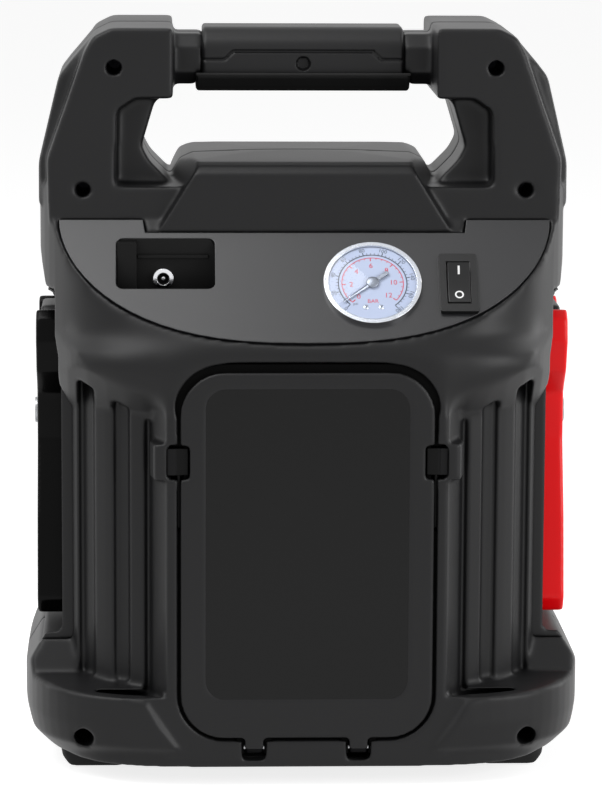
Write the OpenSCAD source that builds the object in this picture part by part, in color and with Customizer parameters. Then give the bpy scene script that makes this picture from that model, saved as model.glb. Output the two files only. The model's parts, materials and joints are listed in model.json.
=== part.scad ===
// Jump starter pack with a tyre compressor. Millimetres, +Z up, floor at Z = 0.
// The face with the gauge and the hose door looks along -Y. The two housing halves meet at Y = 0.

/* [Housing] */
// Width over the plinth
plinth_w = 256; // [248:1:276]
// Depth from the parting plane to the middle of the plinth's rear face
plinth_rear = 97.5; // [94:0.5:104]
// Depth from the parting plane to the middle of the plinth's front face
plinth_front = 98.5; // [94:0.5:106]
// How far the plinth's corner lobes stand proud of its middle
lobe_proud = 4.5; // [3:0.5:6]
// Height of the plinth's ledge above the floor
ledge_z = 41; // [38:1:46]
// Height at which the plinth's side shoulders end
plinth_top = 62; // [58:1:66]
// Width over the shoulders
shoulder_w = 241.4; // [236:0.2:250]
// Width at the waist
waist_w = 223; // [214:1:230]
// Depth from the parting plane to the rear face of the trunk
trunk_rear = 96; // [92:0.5:97]
// Depth from the parting plane to the front face of the trunk
trunk_front = 88; // [84:0.5:94]
// Height at which the waist starts to widen
waist_top = 190; // [180:1:200]
// Height at which the full shoulder width is reached
shoulder_z = 236; // [228:1:244]
// Height of the top of the trunk between the handle posts
trunk_top = 266; // [262:1:267]
// Wall thickness of the housings
wall = 3; // [2.4:0.1:3.4]
// Depth of the rib panels below the skin
panel_sink = 6; // [4:0.5:7]
// Depth of each rib slot below its panel
slot_sink = 2.5; // [1.5:0.1:3]
// Width of each rib slot
slot_w = 7; // [5:0.5:8]

/* [Handle] */
// Height of the top of the grip
top_z = 337.4; // [330:0.1:350]
// Half of the depth of the handle posts
post_d = 48; // [44:0.5:52]
// Half of the depth of the shoulder wings beside the posts
wing_d = 32; // [26:1:38]
// Half of the length of the grip between its two corner blocks
grip_half = 59.5; // [54:0.5:64]
// Depth of the grip
grip_d = 44; // [38:1:50]
// Height of the grip
grip_h = 29.2; // [26:0.1:33]
// Half of the length of the grip cover
cover_half = 46; // [40:0.5:52]
// Height of the hump between the posts
hump_z = 278.4; // [275:0.2:283]
// Half of the depth of the hump
hump_d = 54; // [50:0.5:56]

/* [Control slopes] */
// Angle of the control slopes from the horizontal
slope = 47.6; // [44:0.2:50]
// Height of the centre line of the controls
slope_z = 224.7; // [220:0.5:228]
// Half of the width of the control panels
panel_half = 111; // [108:0.5:114]
// Thickness of the control panels
panel_t = 2.4; // [1.6:0.2:3]
// Seam around the control panels
seam = 0.6; // [0.4:0.1:1]
// Outer radius of the gauge bezel
gauge_r = 21.9; // [18:0.1:24]
// Position of the gauge along X
gauge_x = 29.5; // [26:0.5:33]
// Depth of the gauge case behind the panel
gauge_depth = 22; // [16:1:26]
// Position of the compressor switch along X
switch_x = 68; // [64:0.5:72]
// Width of the compressor switch frame
switch_w = 17.2; // [15:0.2:20]
// Length of the compressor switch frame
switch_l = 31.2; // [27:0.2:34]
// Tilt of the rocker to each side
rocker_tilt = 12; // [8:1:14]
// Half of the width of the charging recess
recess_half = 22; // [18:0.5:24]
// Position of the charging recess along X
recess_x = -63; // [-66:0.5:-60]
// Radius of the charging jack's collar
jack_r = 4.6; // [4:0.1:5.5]

/* [Hose door] */
// Width of the door
door_w = 113.2; // [104:0.2:114]
// Height of the door's lower edge
door_low = 22.6; // [21:0.1:26]
// Height of the door's upper edge
door_high = 188.9; // [178:0.1:192]
// Thickness of the door
door_t = 2.5; // [2:0.1:3]
// Gap around the door
door_gap = 1.2; // [0.8:0.1:1.6]
// How far the door stands proud of its surround
door_proud = 1; // [0.6:0.1:1.4]
// Depth of the hose bay
bay_depth = 34; // [24:1:36]
// Radius of the door's hinge pins
pin_r = 1.25; // [1:0.05:1.5]
// Sideways travel of the door latches
latch_travel = 2.5; // [1.5:0.1:3]

/* [Clamps] */
// Thickness of the clamps
clamp_t = 16; // [13:0.5:17]
// Height of the clamps' pivot
clamp_z = 156; // [150:1:160]
// Radius of the clamps' pivot pin
clamp_pin_r = 3; // [2:0.1:3.6]
// Length of the clamp handles from the pivot
clamp_handle = 91; // [84:1:94]
// Depth of the side pockets' floor from the centre plane
pocket_x = 105; // [102:0.5:107]
// Half of the width of the side pockets
pocket_half = 48; // [44:0.5:52]

/* [Battery and compressor] */
// Length of the battery
battery_l = 181; // [150:1:184]
// Depth of the battery
battery_d = 77; // [65:1:78]
// Height of the battery
battery_h = 167; // [140:1:168]
// Radius of the compressor's motor
motor_r = 18; // [14:0.5:19]
// Length of the compressor's motor
motor_l = 58; // [45:1:62]
// Radius of the compressor's cylinder
cylinder_r = 10; // [8:0.5:12]

/* [Front controls] */
// Bore radius of the 12 V socket
socket_r = 10.5; // [9:0.1:11]
// Position of the 12 V socket along X
socket_x = 62; // [56:1:66]
// Depth of the 12 V socket's bore
socket_depth = 40; // [34:1:46]
// Radius of the main switch's knob
knob_r = 19; // [15:0.5:21]
// Radius of the push buttons
button_r = 5; // [4:0.1:6]
// Travel of the push buttons
button_travel = 1.5; // [1:0.1:2]
// Width of the work light
light_w = 76; // [60:1:84]
// Height of the work light
light_h = 13; // [10:0.5:14]

/* [Feet and fasteners] */
// Height of the rubber feet
foot_h = 8; // [6:0.5:10]
// Radius of the housing screws' shank
screw_r = 1.6; // [1.3:0.1:2]
// Radius of the recesses over the housing screws
screw_well_r = 3.45; // [3.2:0.05:4.2]

/* [Hidden] */

charcoal = "#333335";
panel_grey = "#6a6a6c";
rubber_black = "#161616";
copper = "#b4683c";

far = 400;               // longer than anything it cuts
fit = 0.3;               // gap between pieces of different bodies
slip = 0.05;             // radial running clearance of a pin in its hole
seat = 0.15;             // gap around a fixed insert
round_n = 48;

slope_rear = 73.3;       // Y depth of the controls' centre line on the rear slope
slope_front = 65.3;      // the same on the front slope
panel_up = 35.9;         // slope length from the centre line to the panels' upper edge
panel_notch = 28.7;      // the same where the hump cuts the edge back
notch_half = 73.2;
panel_down = 31.1;       // slope length from the centre line to the lowest point
panel_side_n = 2.6;      // exponents of the panels' outline across and down the slope
panel_foot_n = 1.8;
blend = 2.9;             // exponent of the trunk's plan outline
lobe_blend = 4;          // exponent of the plinth's plan outline
shoulder_blend = 5;      // exponent of the shoulder's plan outline
frame_half = door_w / 2 + 5.9;      // half width of the door surround's flat face
frame_root = frame_half + 12.1;     // half width from which the ribs are laid out
frame_foot = frame_half + 7.5;      // half width at the foot of its slanted side
frame_deep = 18;         // depth of that side
panel_edge = frame_half + 9.8;      // inner edge of the rib panels, across a channel from the side
frame_top = door_high + 6.6;
shoulder_top = door_high + 14;      // height at which the shoulder's plan is the trunk's again
rib_out = waist_w / 2;   // outer edge of the rib panels
rib_x = [frame_root + 8.2, rib_out - 12.8];    // centres of the rib slots
rib_low = ledge_z + 0.4;
gutter_low = ledge_z - 2.5;         // floor of the gutter between the rib panels and the ledge
rib_high = waist_top + 10;
brow_y = 80;             // depth at which the brow's points are given
brow = [[frame_half - 2, 163], [frame_half, 163.4], [73, 167], [80.4, 170.6], [89, 176.5], [97.8, 184.3],
    [107, 196], [113, 208]];
grip_drop = 1.6;         // depth of the grip's top below the posts'
grip_z = top_z - grip_drop - grip_h / 2;
screw_drop = 17.8;       // depth of the upper screws below the top of the grip
screw_spots = [[shoulder_w / 2 - 34.6, top_z - screw_drop], [shoulder_w / 2 - 20.4, trunk_top - 1.5],
    [0, top_z - screw_drop], [battery_l / 2 + 9.5, ledge_z - 20.3]];
foot_well = 0.95;        // how much wider the lower screws' wells are
screw_places = [for (s = screw_spots) for (m = s[0] == 0 ? [1] : [-1, 1]) [m * s[0], s[1]]];
door_y = plinth_rear + door_proud;
hinge_y = door_y - 5;
hinge_z = door_low - 5.1;
hinge_x = 23.5;
label_half = door_w / 2 - 11;        // half width of the label's recess
label_low = door_low + 17.6;
label_high = door_high - 7.1;
label_sink = 0.8;
hinge_w = 8.4;
latch_z = door_high - 40.4;
latch_h = 12;
latch_notch = 4.2;       // depth of the finger notches in the door's edges
latch_x = [door_w / 2 + 2.4, frame_half];      // sides of the latches' thumb blocks
latch_sink = 1.5;        // depth of the thumb blocks below the frame's face
bay_half = door_w / 2 - 3.6;
bay_wall = 2;
bay_face = plinth_rear - wall;
battery_rear = bay_face - bay_depth - bay_wall - 4;
battery_z = foot_h + wall;
battery_top = battery_z + battery_h;
clamp_in = pocket_x + 1.5;
cheek = 3;
pocket_low = clamp_z - clamp_handle * norm([0.31, 1]) - 0.6;
pocket_high = clamp_z + 60;

// ---- Outlines -------------------------------------------------------------

function unit(v) = v / norm(v);
function left_of(v) = [-v[1], v[0]];

// Closed counter-clockwise outline moved inwards by d
function inset(pts, d) = [for (i = [0:len(pts) - 1])
    let (n = len(pts), u = unit(pts[i] - pts[(i + n - 1) % n]), v = unit(pts[(i + 1) % n] - pts[i]))
    pts[i] + (left_of(u) + left_of(v)) * d / (1 + u * v)];

// Outline whose corners [x, y, r] are rounded by arcs of radius r
function rounded(pts, steps = 8) = [for (i = [0:len(pts) - 1])
    let (n = len(pts), b = [pts[i][0], pts[i][1]], r = pts[i][2],
        p = pts[(i + n - 1) % n], q = pts[(i + 1) % n],
        u = unit([p[0], p[1]] - b), v = unit([q[0], q[1]] - b), half = acos(u * v) / 2,
        mid = b + unit(u + v) * r / sin(half), a = b + u * r / tan(half) - mid,
        turn = sign(u[1] * v[0] - u[0] * v[1]) * (180 - 2 * half), start = atan2(a[1], a[0]))
    for (k = [0:steps]) r == 0 ? b : mid + r * [cos(start + turn * k / steps),
        sin(start + turn * k / steps)]];

// Rectangle with rounded corners, from low to high on each axis
function plate_outline(x0, x1, y0, y1, r) = rounded([[x0, y0, r], [x1, y0, r], [x1, y1, r], [x0, y1, r]]);

// Right half of an outline, followed by its mirror image
function both_halves(pts) = concat(pts, [for (i = [len(pts) - 1:-1:0]) [-pts[i][0], pts[i][1]]]);

// Superellipse plan of half width a, depth rear towards -Y and front towards +Y
function plan(a, rear, front, n = blend) = [for (i = [0:71]) let (t = i * 5 - 90)
    [a * sign(cos(t)) * pow(abs(cos(t)), 2 / n),
     (sin(t) < 0 ? rear : front) * sign(sin(t)) * pow(abs(sin(t)), 2 / n)]];

// ---- Placing --------------------------------------------------------------

// Extrudes an XZ outline along Y between two planes
module along_y(y0, y1) translate([0, y1, 0]) rotate([90, 0, 0]) linear_extrude(y1 - y0) children();
// Extrudes a YZ outline along X between two planes
module along_x(x0, x1) translate([x0, 0, 0]) rotate([90, 0, 90]) linear_extrude(x1 - x0) children();
module both_sides() for (s = [0, 1]) mirror([s, 0, 0]) children();
// Local Z is the slope's outward normal, local Y runs up the slope
module on_rear_slope(x = 0) translate([x, -slope_rear, slope_z]) rotate([slope, 0, 0]) children();
module on_front_slope(x = 0) mirror([0, 1, 0])
    translate([x, -slope_front, slope_z]) rotate([slope, 0, 0]) children();
module rod(r, h, z = 0) translate([0, 0, z]) cylinder(r = r, h = h, $fn = round_n);
module tube(r_out, r_in, h, z = 0) translate([0, 0, z]) difference() {
    cylinder(r = r_out, h = h, $fn = round_n);
    translate([0, 0, -1]) cylinder(r = r_in, h = h + 2, $fn = round_n);
}
// Round bar along Y from y0 to y1 at (x, z)
module bar_y(r, x, z, y0, y1)
    translate([x, y0, z]) rotate([-90, 0, 0]) cylinder(r = r, h = y1 - y0, $fn = round_n);
// Round bar along X from x0 to x1 at (y, z)
module bar_x(r, y, z, x0, x1)
    translate([x0, y, z]) rotate([0, 90, 0]) cylinder(r = r, h = x1 - x0, $fn = round_n);
module block(x, y, z) translate([x[0], y[0], z[0]]) cube([x[1] - x[0], y[1] - y[0], z[1] - z[0]]);

// ---- Housing shape --------------------------------------------------------

// Side outline of the trunk with both control slopes
function trunk_side() = let (c = cos(slope), s = sin(slope),
    low = panel_down + 6, up = panel_up + 1)
    [[-trunk_rear - 8, foot_h + 1], [trunk_front + 8, foot_h + 1],
     [trunk_front + 8, slope_z - (trunk_front + 8 - slope_front) * tan(slope)],
     [slope_front - up * c, slope_z + up * s], [slope_front - up * c, trunk_top],
     [-slope_rear + up * c, trunk_top], [-slope_rear + up * c, slope_z + up * s],
     [-trunk_rear - 8, slope_z - (trunk_rear + 8 - slope_rear) * tan(slope)]];

function trunk_face() = both_halves([[waist_w / 2, foot_h + 1], [waist_w / 2, waist_top],
    [shoulder_w / 2, shoulder_z], [shoulder_w / 2, trunk_top]]);

module trunk(d) intersection() {
    along_y(-far, far) polygon(inset(trunk_face(), d));
    union() {
        linear_extrude(far) polygon(plan(shoulder_w / 2 - d, trunk_rear - d, trunk_front - d));
        shoulder(d);
    }
    along_x(-far, far) polygon(inset(trunk_side(), d));
}
// Squarer plan of the shoulder round the door's upper end, which fades out at the slopes
module shoulder(d) intersection() {
    block([-far, far], [-far, 0], [0, far]);
    hull() {
        linear_extrude(frame_top)
            polygon(plan(waist_w / 2 - d, plinth_rear - d, plinth_rear - d, shoulder_blend));
        linear_extrude(shoulder_top) polygon(plan(shoulder_w / 2 - d, trunk_rear - d, trunk_rear - d));
    }
}

function plinth_face() = let (a = plinth_w / 2)
    both_halves([[a - 20, foot_h], [a - 6, foot_h + 6], [a, foot_h + 20], [a, ledge_z + 4],
        [a - 10.4, plinth_top]]);
// Front or rear half of the plinth's side outline, from its foot at depth y up to the ledge
function plinth_edge(y) = [[y - 16, foot_h], [y - 9, foot_h + 1.7], [y - 1.5, foot_h + 10], [y, foot_h + 20],
    [y, ledge_z - 5.5], [y - 5, ledge_z], [60, ledge_z + 3], [50, plinth_top]];
function plinth_side() = let (rear = plinth_edge(plinth_rear + lobe_proud))
    concat(plinth_edge(plinth_front + lobe_proud),
        [for (i = [len(rear) - 1:-1:0]) [-rear[i][0], rear[i][1]]]);
// Plan body of the plinth, whose lower edge is drawn in all round by [inset, height above foot_h]
lower_edge = [[16, 0], [9, 1.7], [1.5, 10], [0, 20]];
module plinth_plan(d) hull() for (e = lower_edge) translate([0, 0, foot_h + e[1]])
    linear_extrude(plinth_top - foot_h - e[1]) polygon(plan(plinth_w / 2 - d - e[0],
        plinth_rear + lobe_proud - d - e[0], plinth_front + lobe_proud - d - e[0], lobe_blend));

// Space in front of the plinth's middle, whose sloping borders run down and inwards between the lobes
lobe_low = [59, 12];     // X and Z at the foot of a lobe's border
lobe_turn = 34;          // angle of the border from the vertical
lobe_border = 5.6;       // width of the border
module lobe_gap(d) for (side = [[0, plinth_rear], [1, plinth_front]]) mirror([0, side[0], 0])
    intersection_for (s = [0, 1]) mirror([s, 0, 0]) translate([lobe_low[0], 0, lobe_low[1]])
        rotate([0, lobe_turn, 0]) translate([0, 0, -far]) linear_extrude(2 * far)
            polygon([[lobe_border / lobe_proud * 2, -side[1] - lobe_proud - 2 + d],
                [-lobe_border, -side[1] + d], [-far, -side[1] + d], [-far, -far], [far, -far]]);

module plinth(d) difference() {
    intersection() {
        along_y(-far, far) polygon(inset(plinth_face(), d));
        plinth_plan(d);
        along_x(-far, far) polygon(inset(plinth_side(), d));
    }
    lobe_gap(d);
}

// Frame that stands out around the hose door
function frame_plan() = both_halves([[frame_half, -plinth_rear], [frame_foot, frame_deep - plinth_rear],
    [frame_foot, -70]]);
// Bulge of the frame's side that covers a door latch
module latch_bulge(d) both_sides() translate([0, 0, latch_z - latch_h / 2 - 2.2 + d])
    linear_extrude(latch_h + 4.4 - 2 * d) polygon([[frame_half - 2, 12 - plinth_rear],
        [frame_half - 2, d - plinth_rear], [frame_half + 4.3 - d / 2, d - plinth_rear],
        [frame_half + 5.9 - d, 1.2 - plinth_rear + d], [frame_half + 7.8 - d, 12 - plinth_rear]]);
module door_frame(d) {
    translate([0, 0, foot_h + 6 + d]) linear_extrude(frame_top - foot_h - 6 - 2 * d)
        polygon(inset(frame_plan(), d));
    latch_bulge(d);
}

// Right handle post: the wide middle part and the narrower outer part
post_x = shoulder_w / 2;
function wing_outline() = [[post_x, 256], [post_x, 275.4], [post_x - 9.3, top_z - 23],
    [post_x - 14, top_z - 17], [post_x - 26, top_z - 3], [grip_half, top_z - 3], [grip_half, grip_z - 13.2],
    [67.7, 303], [73.7, 283], [70, 276], [61.6, 267.6], [58, 256]];
function post_outline() = [[post_x - 5, 250], [post_x - 4, 278], [post_x - 21, top_z - 11],
    [post_x - 25, top_z - 4], [post_x - 33, top_z], [grip_half, top_z],
    [grip_half, grip_z - 15.7], [post_x - 44, grip_z - 15.7], [post_x - 36, 300], [post_x - 35, 250]];
module posts(d) both_sides() {
    along_y(-wing_d + d, wing_d - d) polygon(inset(wing_outline(), d));
    along_y(-post_d + d, post_d - d) polygon(inset(post_outline(), d));
}

function hump_face() = both_halves([[66, 236], [66, 246], [63.5, 258], [59.6, 268.5], [56.5, hump_z - 4],
    [50.5, hump_z - 1.2], [24, hump_z - 0.2], [8, hump_z]]);
function hump_side() = [[-hump_d, 236], [hump_d, 236], [hump_d, hump_z - 6], [hump_d - 3.4, hump_z - 2.2],
    [hump_d - 10, hump_z - 0.8], [4, hump_z], [-4, hump_z], [-hump_d + 10, hump_z - 1.4],
    [-hump_d + 3.4, hump_z - 2.8], [-hump_d, hump_z - 6]];
// Outline of its rear face on one side, from which the flank runs outwards and back
hump_flank = [[-far / 2, 230], [75.6, 230], [38.7, 290], [-far / 2, 290]];
hump_turn = 8.8;
module hump(d) intersection() {
    along_y(-far, far) polygon(inset(hump_face(), d));
    along_x(-far, far) polygon(inset(hump_side(), d));
    intersection_for (s = [0, 1]) mirror([s, 0, 0]) translate([0, -hump_d, 0])
        rotate([0, 0, -hump_turn]) along_y(-far, far) polygon(inset(hump_flank, d));
}

// Neck of the grip, an eight-sided bar between the blocks
function grip_side(h, w, c) = [[-w + c, -h], [w - c, -h], [w, -h + c], [w, h - c], [w - c, h],
    [-w + c, h], [-w, h - c], [-w, -h + c]];
module grip_neck(d) translate([0, 0, grip_z]) along_x(-grip_half - 3 - d, grip_half + 3 + d)
    polygon(inset(grip_side(grip_h / 2 - 3, grip_d / 2 - 2, 6), d));

module skin(d) {
    trunk(d);
    plinth(d);
    door_frame(d);
    posts(d);
    hump(d);
    grip_neck(d);
}

// Region of one rib panel, seen from the rear, from a lower edge upwards
function rib_region(low, g = 0) = [[frame_half, low - g], [rib_out + g, low - g],
    [rib_out + g, rib_high + g], [frame_half, rib_high + g]];
// Height of the slots' slanted upper edge at x
function slot_top(x) = waist_top - 20 + (x - frame_root - 4.8) * 0.53;
module rib_prism(outline)
    for (s = [0, 1]) mirror([0, s, 0]) both_sides() along_y(-far, -40) polygon(outline);
// Space under the brow, whose face rises outwards at 45 degrees
module under_brow() for (s = [0, 1]) mirror([0, s, 0]) both_sides() rotate([-45, 0, 0])
    along_y(-far, -far / 8) polygon(concat([[far, -far], [brow[0][0], -far]],
        [for (b = brow) [b[0], (b[1] - brow_y) / sqrt(2)]],
        [[far, (brow[len(brow) - 1][1] - brow_y) / sqrt(2)]]));
module plan_core(d) linear_extrude(far) polygon(plan(shoulder_w / 2 - d, trunk_rear - d, trunk_front - d));

// Material left under the rib panels
module thick_walls() difference() {
    rib_prism(rib_region(gutter_low, wall));
    plan_core(panel_sink + slot_sink + wall);
}

module rib_cuts() {
    difference() {
        intersection() {
            rib_prism(rib_region(rib_low));
            under_brow();
        }
        plan_core(panel_sink);
        door_frame(0);
        plinth(0);
    }
    difference() {
        for (x = rib_x) let (x0 = x - slot_w / 2, x1 = x + slot_w / 2)
            rib_prism([[x0, rib_low + 2], [x1, rib_low + 2], [x1, slot_top(x1)], [x0, slot_top(x0)]]);
        plan_core(panel_sink + slot_sink);
    }
    gutter();
}
// Channel between each rib panel and the door frame, and the gutter between the panel and the ledge
module gutter() difference() {
    intersection() {
        rib_prism([[frame_half - 4, gutter_low], [rib_out - 3, gutter_low], [rib_out - 3, rib_low],
            [panel_edge, rib_low], [panel_edge, slot_top(panel_edge)], [frame_half - 4, slot_top(frame_half)]]);
        union() {
            linear_extrude(far) polygon(plan(plinth_w / 2 - 6, plinth_rear + lobe_proud - 6,
                plinth_front + lobe_proud - 6, lobe_blend));
            block([-far, far], [-far, far], [rib_low, far]);
        }
    }
    plan_core(panel_sink + slot_sink);
    door_frame(0);
}

// Space of the side pockets, grown by g, from a depth outwards
module side_pockets(depth, g) both_sides() block([depth, far], [-pocket_half - g, pocket_half + g],
    [pocket_low - g, pocket_high + g]);

// ---- Control panels -------------------------------------------------------

// Outline of a control panel on its slope, grown by g
function panel_outline(g = 0) = let (a = panel_half + g, b = panel_up + panel_down + g,
    arc = [for (i = [1:35]) let (t = 180 + i * 5) [a * sign(cos(t)) * pow(abs(cos(t)), 2 / panel_side_n),
        panel_up - b * pow(abs(sin(t)), 2 / panel_foot_n)]])
    concat([[-a, panel_up + g]], arc, [[a, panel_up + g], [notch_half - g, panel_up + g],
        [notch_half - g - 1, panel_notch + g], [-notch_half + g + 1, panel_notch + g],
        [-notch_half + g, panel_up + g]]);

module panel_seat() {
    translate([0, 0, -panel_t]) linear_extrude(far / 8) polygon(panel_outline(seam));
    translate([0, 0, -panel_t - 2 * wall]) linear_extrude(3 * wall) polygon(panel_outline(-4));
}

module gauge_hole() rod(gauge_r - 0.9, 30, -15);
module switch_hole(g = 0) translate([-switch_w / 2 + 1.5 - g, -switch_l / 2 + 1.5 - g, -26])
    cube([switch_w - 3 + 2 * g, switch_l - 3 + 2 * g, 30]);
// Mouth of the charging recess on the slope
recess_low = -1.8;
recess_up = 25.4;
module recess_mouth(g = 0) translate([0, 0, -15]) linear_extrude(30)
    polygon(plate_outline(-recess_half - g, recess_half + g, recess_low - g, recess_up + g, 3 + g));

module rear_panel() color(panel_grey) on_rear_slope() difference() {
    translate([0, 0, -panel_t]) linear_extrude(panel_t) polygon(panel_outline());
    translate([gauge_x, 0, 0]) gauge_hole();
    translate([switch_x, 0, 0]) switch_hole();
    translate([recess_x, 0, 0]) recess_mouth(seat);
}

test_spot = [-54, -6];
light_spot = [-76, -2];
led_x = [-44, -54, -64, -74];
led_y = 14;
module at(p) translate([p[0], p[1], 0]) children();
module front_panel() color(panel_grey) on_front_slope() difference() {
    translate([0, 0, -panel_t]) linear_extrude(panel_t) polygon(panel_outline());
    rod(knob_r - 1, 30, -15);
    at([socket_x, 0]) rod(socket_r + 3, 30, -15);
    at(test_spot) rod(button_r + fit, 30, -15);
    at(light_spot) rod(button_r + fit, 30, -15);
    for (x = led_x) at([x, led_y]) rod(2 + slip, 30, -15);
}

// ---- Housing halves -------------------------------------------------------

module screw_wells(reach) for (p = screw_places)
    bar_y(screw_well_r + (p[1] < ledge_z ? foot_well : 0) + wall - 0.6, p[0], p[1], -reach, 0);

module rear_housing() color(charcoal) difference() {
    union() {
        difference() {
            skin(0);
            difference() {
                skin(wall);
                thick_walls();
            }
            rib_cuts();
            side_pockets(pocket_x - wall - seat, wall + seat);
        }
        intersection() {
            screw_wells(far / 4);
            skin(0.5);
        }
    }
    translate([0, far / 2, far / 2]) cube([2 * far, far, 2 * far], center = true);
    on_rear_slope() panel_seat();
    on_rear_slope() translate([switch_x, 0, 0]) switch_hole(seat);
    recess_space(tray_t + seat, tray_t + seat);
    door_opening();
    latch_pockets();
    for (p = screw_places) {
        bar_y(screw_well_r + (p[1] < ledge_z ? foot_well : 0), p[0], p[1], -far, -11);
        bar_y(screw_well_r, p[0], p[1], -far, -8);
        bar_y(screw_r + 0.3, p[0], p[1], -far, far);
    }
    cover_seat();
}

module front_housing() color(charcoal) difference() {
    union() {
        difference() {
            skin(0);
            difference() {
                skin(wall);
                thick_walls();
            }
            rib_cuts();
            side_pockets(pocket_x - wall - seat, wall + seat);
        }
        intersection() {
            union() {
                mirror([0, 1, 0]) screw_wells(far / 4);
                gland_bosses();
            }
            skin(0.5);
        }
    }
    translate([0, -far / 2, far / 2]) cube([2 * far, far, 2 * far], center = true);
    on_front_slope() panel_seat();
    light_window();
    for (p = screw_places) bar_y(screw_r + slip, p[0], p[1], -1, 18);
    for (s = [-1, 1]) {
        bar_y(gland_r, s * gland_x, gland_z, 40, far);
        bar_y(gland_r + 2 + seat, s * gland_x, gland_z, gland_y, far);
    }
    cover_seat();
}

module housing_screws() color("#1b1b1c") for (p = screw_places) union() {
    bar_y(screw_r, p[0], p[1], -8.5, 15);
    difference() {
        bar_y(screw_well_r - 0.25, p[0], p[1], -11, -8);
        bar_y(1.2, p[0], p[1], -12, -9.5);
    }
}

foot_w = 33;
foot_d = 24;
foot_x = plinth_w / 2 - 16.5;    // outer edge of the feet
foot_y = plinth_rear - 37.5;     // their edge towards the face
foot_taper = 4.5;        // how far the sole is drawn in
module feet() color(rubber_black) for (s = [0, 1]) mirror([0, s, 0]) both_sides() intersection() {
    linear_extrude(foot_h) polygon(plate_outline(foot_x - foot_w, foot_x, -foot_y, foot_d - foot_y, 6));
    along_y(-far, far) polygon([[foot_x - foot_w + foot_taper, 0], [foot_x - foot_taper, 0],
        [foot_x - 1, foot_h / 2], [foot_x, foot_h], [foot_x - foot_w, foot_h],
        [foot_x - foot_w + 1, foot_h / 2]]);
}

// ---- Grip -----------------------------------------------------------------

// The cover wraps the rear, top and front of the neck
cover_bottom = grip_z - 6.2;
cover_h = 5;             // thickness of the cover above and below the neck
cover_d = 4;             // the same before and behind it
pad_half = cover_half + 3;
module grip_wrap(half) translate([0, 0, grip_z]) along_x(-half, half)
    polygon(grip_side(grip_h / 2, grip_d / 2, 7));
module neck_core(g, reach) translate([0, 0, grip_z]) along_x(-reach, reach)
    polygon(grip_side(grip_h / 2 - cover_h + g, grip_d / 2 - cover_d + g, 4));
module cover_seat() difference() {
    union() {
        translate([0, 0, grip_z]) along_x(-cover_half - seat, cover_half + seat)
            polygon(grip_side(grip_h / 2 + 1, grip_d / 2 + 1, 7));
        translate([0, 0, grip_z]) along_x(-pad_half - seat, pad_half + seat)
            polygon([[-grip_d, -grip_h], [grip_d, -grip_h], [grip_d, cover_bottom - grip_z],
                [-grip_d, cover_bottom - grip_z]]);
    }
    neck_core(0, far);
}
module grip_cover() color(charcoal) difference() {
    intersection() {
        grip_wrap(cover_half);
        block([-far, far], [-far, far], [cover_bottom, far]);
    }
    neck_core(seat, far);
    bar_y(screw_well_r, 0, screw_spots[2][1], -far, 0);
}
module grip_pad() color(rubber_black) difference() {
    intersection() {
        grip_wrap(pad_half);
        block([-far, far], [-far, far], [0, cover_bottom - seam]);
    }
    neck_core(seat, far);
}

// ---- Hose bay and door ----------------------------------------------------

door_r = 20;
module door_shape(g)
    polygon(plate_outline(-door_w / 2 - g, door_w / 2 + g, door_low - g, door_high + g, door_r + g));
// Notches for the door's two tabs, with pockets behind the skin for the lugs that carry the pins
module hinge_slots() for (s = [-1, 1]) {
    block([s * hinge_x - hinge_w / 2 - 0.8, s * hinge_x + hinge_w / 2 + 0.8], [-far, -bay_face + 6],
        [hinge_z - door_y + hinge_y - 0.4, door_low + 4]);
    block([s * hinge_x - hinge_w / 2 - lug_w - 0.8, s * hinge_x + hinge_w / 2 + lug_w + 0.8],
        [-hinge_y - 2.6 - seat, -bay_face + 6], [hinge_z - 2.8, door_low]);
}
module door_opening() {
    along_y(-far, -bay_face + 1) door_shape(door_gap);
    hinge_slots();
}

module hose_door() color(charcoal) difference() {
    union() {
        along_y(-door_y, -door_y + door_t) door_shape(0);
        for (s = [-1, 1]) {
            block([s * hinge_x - hinge_w / 2, s * hinge_x + hinge_w / 2], [-door_y, -door_y + door_t],
                [hinge_z, door_low + 2]);
            bar_x(2.8, -hinge_y, hinge_z, s * hinge_x - hinge_w / 2, s * hinge_x + hinge_w / 2);
        }
    }
    for (s = [-1, 1]) bar_x(pin_r + slip, -hinge_y, hinge_z, s * hinge_x - 10, s * hinge_x + 10);
    along_y(-far, -door_y + label_sink) label_shape(0);
    latch_notches();
}
module label_shape(g)
    polygon(plate_outline(-label_half + g, label_half - g, label_low + g, label_high - g, 9 - g));
module label_plate() color("#0c0c0c")
    along_y(-door_y + label_sink - 0.5, -door_y + label_sink) label_shape(fit);

// Finger notches in the door's edges
module latch_notches() both_sides() block([door_w / 2 - latch_notch, far], [-far, 0],
    [latch_z - latch_h / 2 - 1.6, latch_z + latch_h / 2 + 1.6]);

// Hinge pins, carried by lugs on the bay's floor
lug_w = 3.2;
pin_half = hinge_w / 2 + lug_w;
module bay_hinge_pins() color("#9a9a9c") for (s = [-1, 1])
    bar_x(pin_r, -hinge_y, hinge_z, s * hinge_x - pin_half, s * hinge_x + pin_half);
module hinge_lugs() for (s = [-1, 1]) for (t = [-1, 1]) {
    x = s * hinge_x + t * (hinge_w / 2 + lug_w / 2 + 0.4);
    block([x - lug_w / 2, x + lug_w / 2], [-hinge_y - 2.4, -bay_face + 3.5], [hinge_z - 2.4, bay_low + 1]);
}

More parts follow.
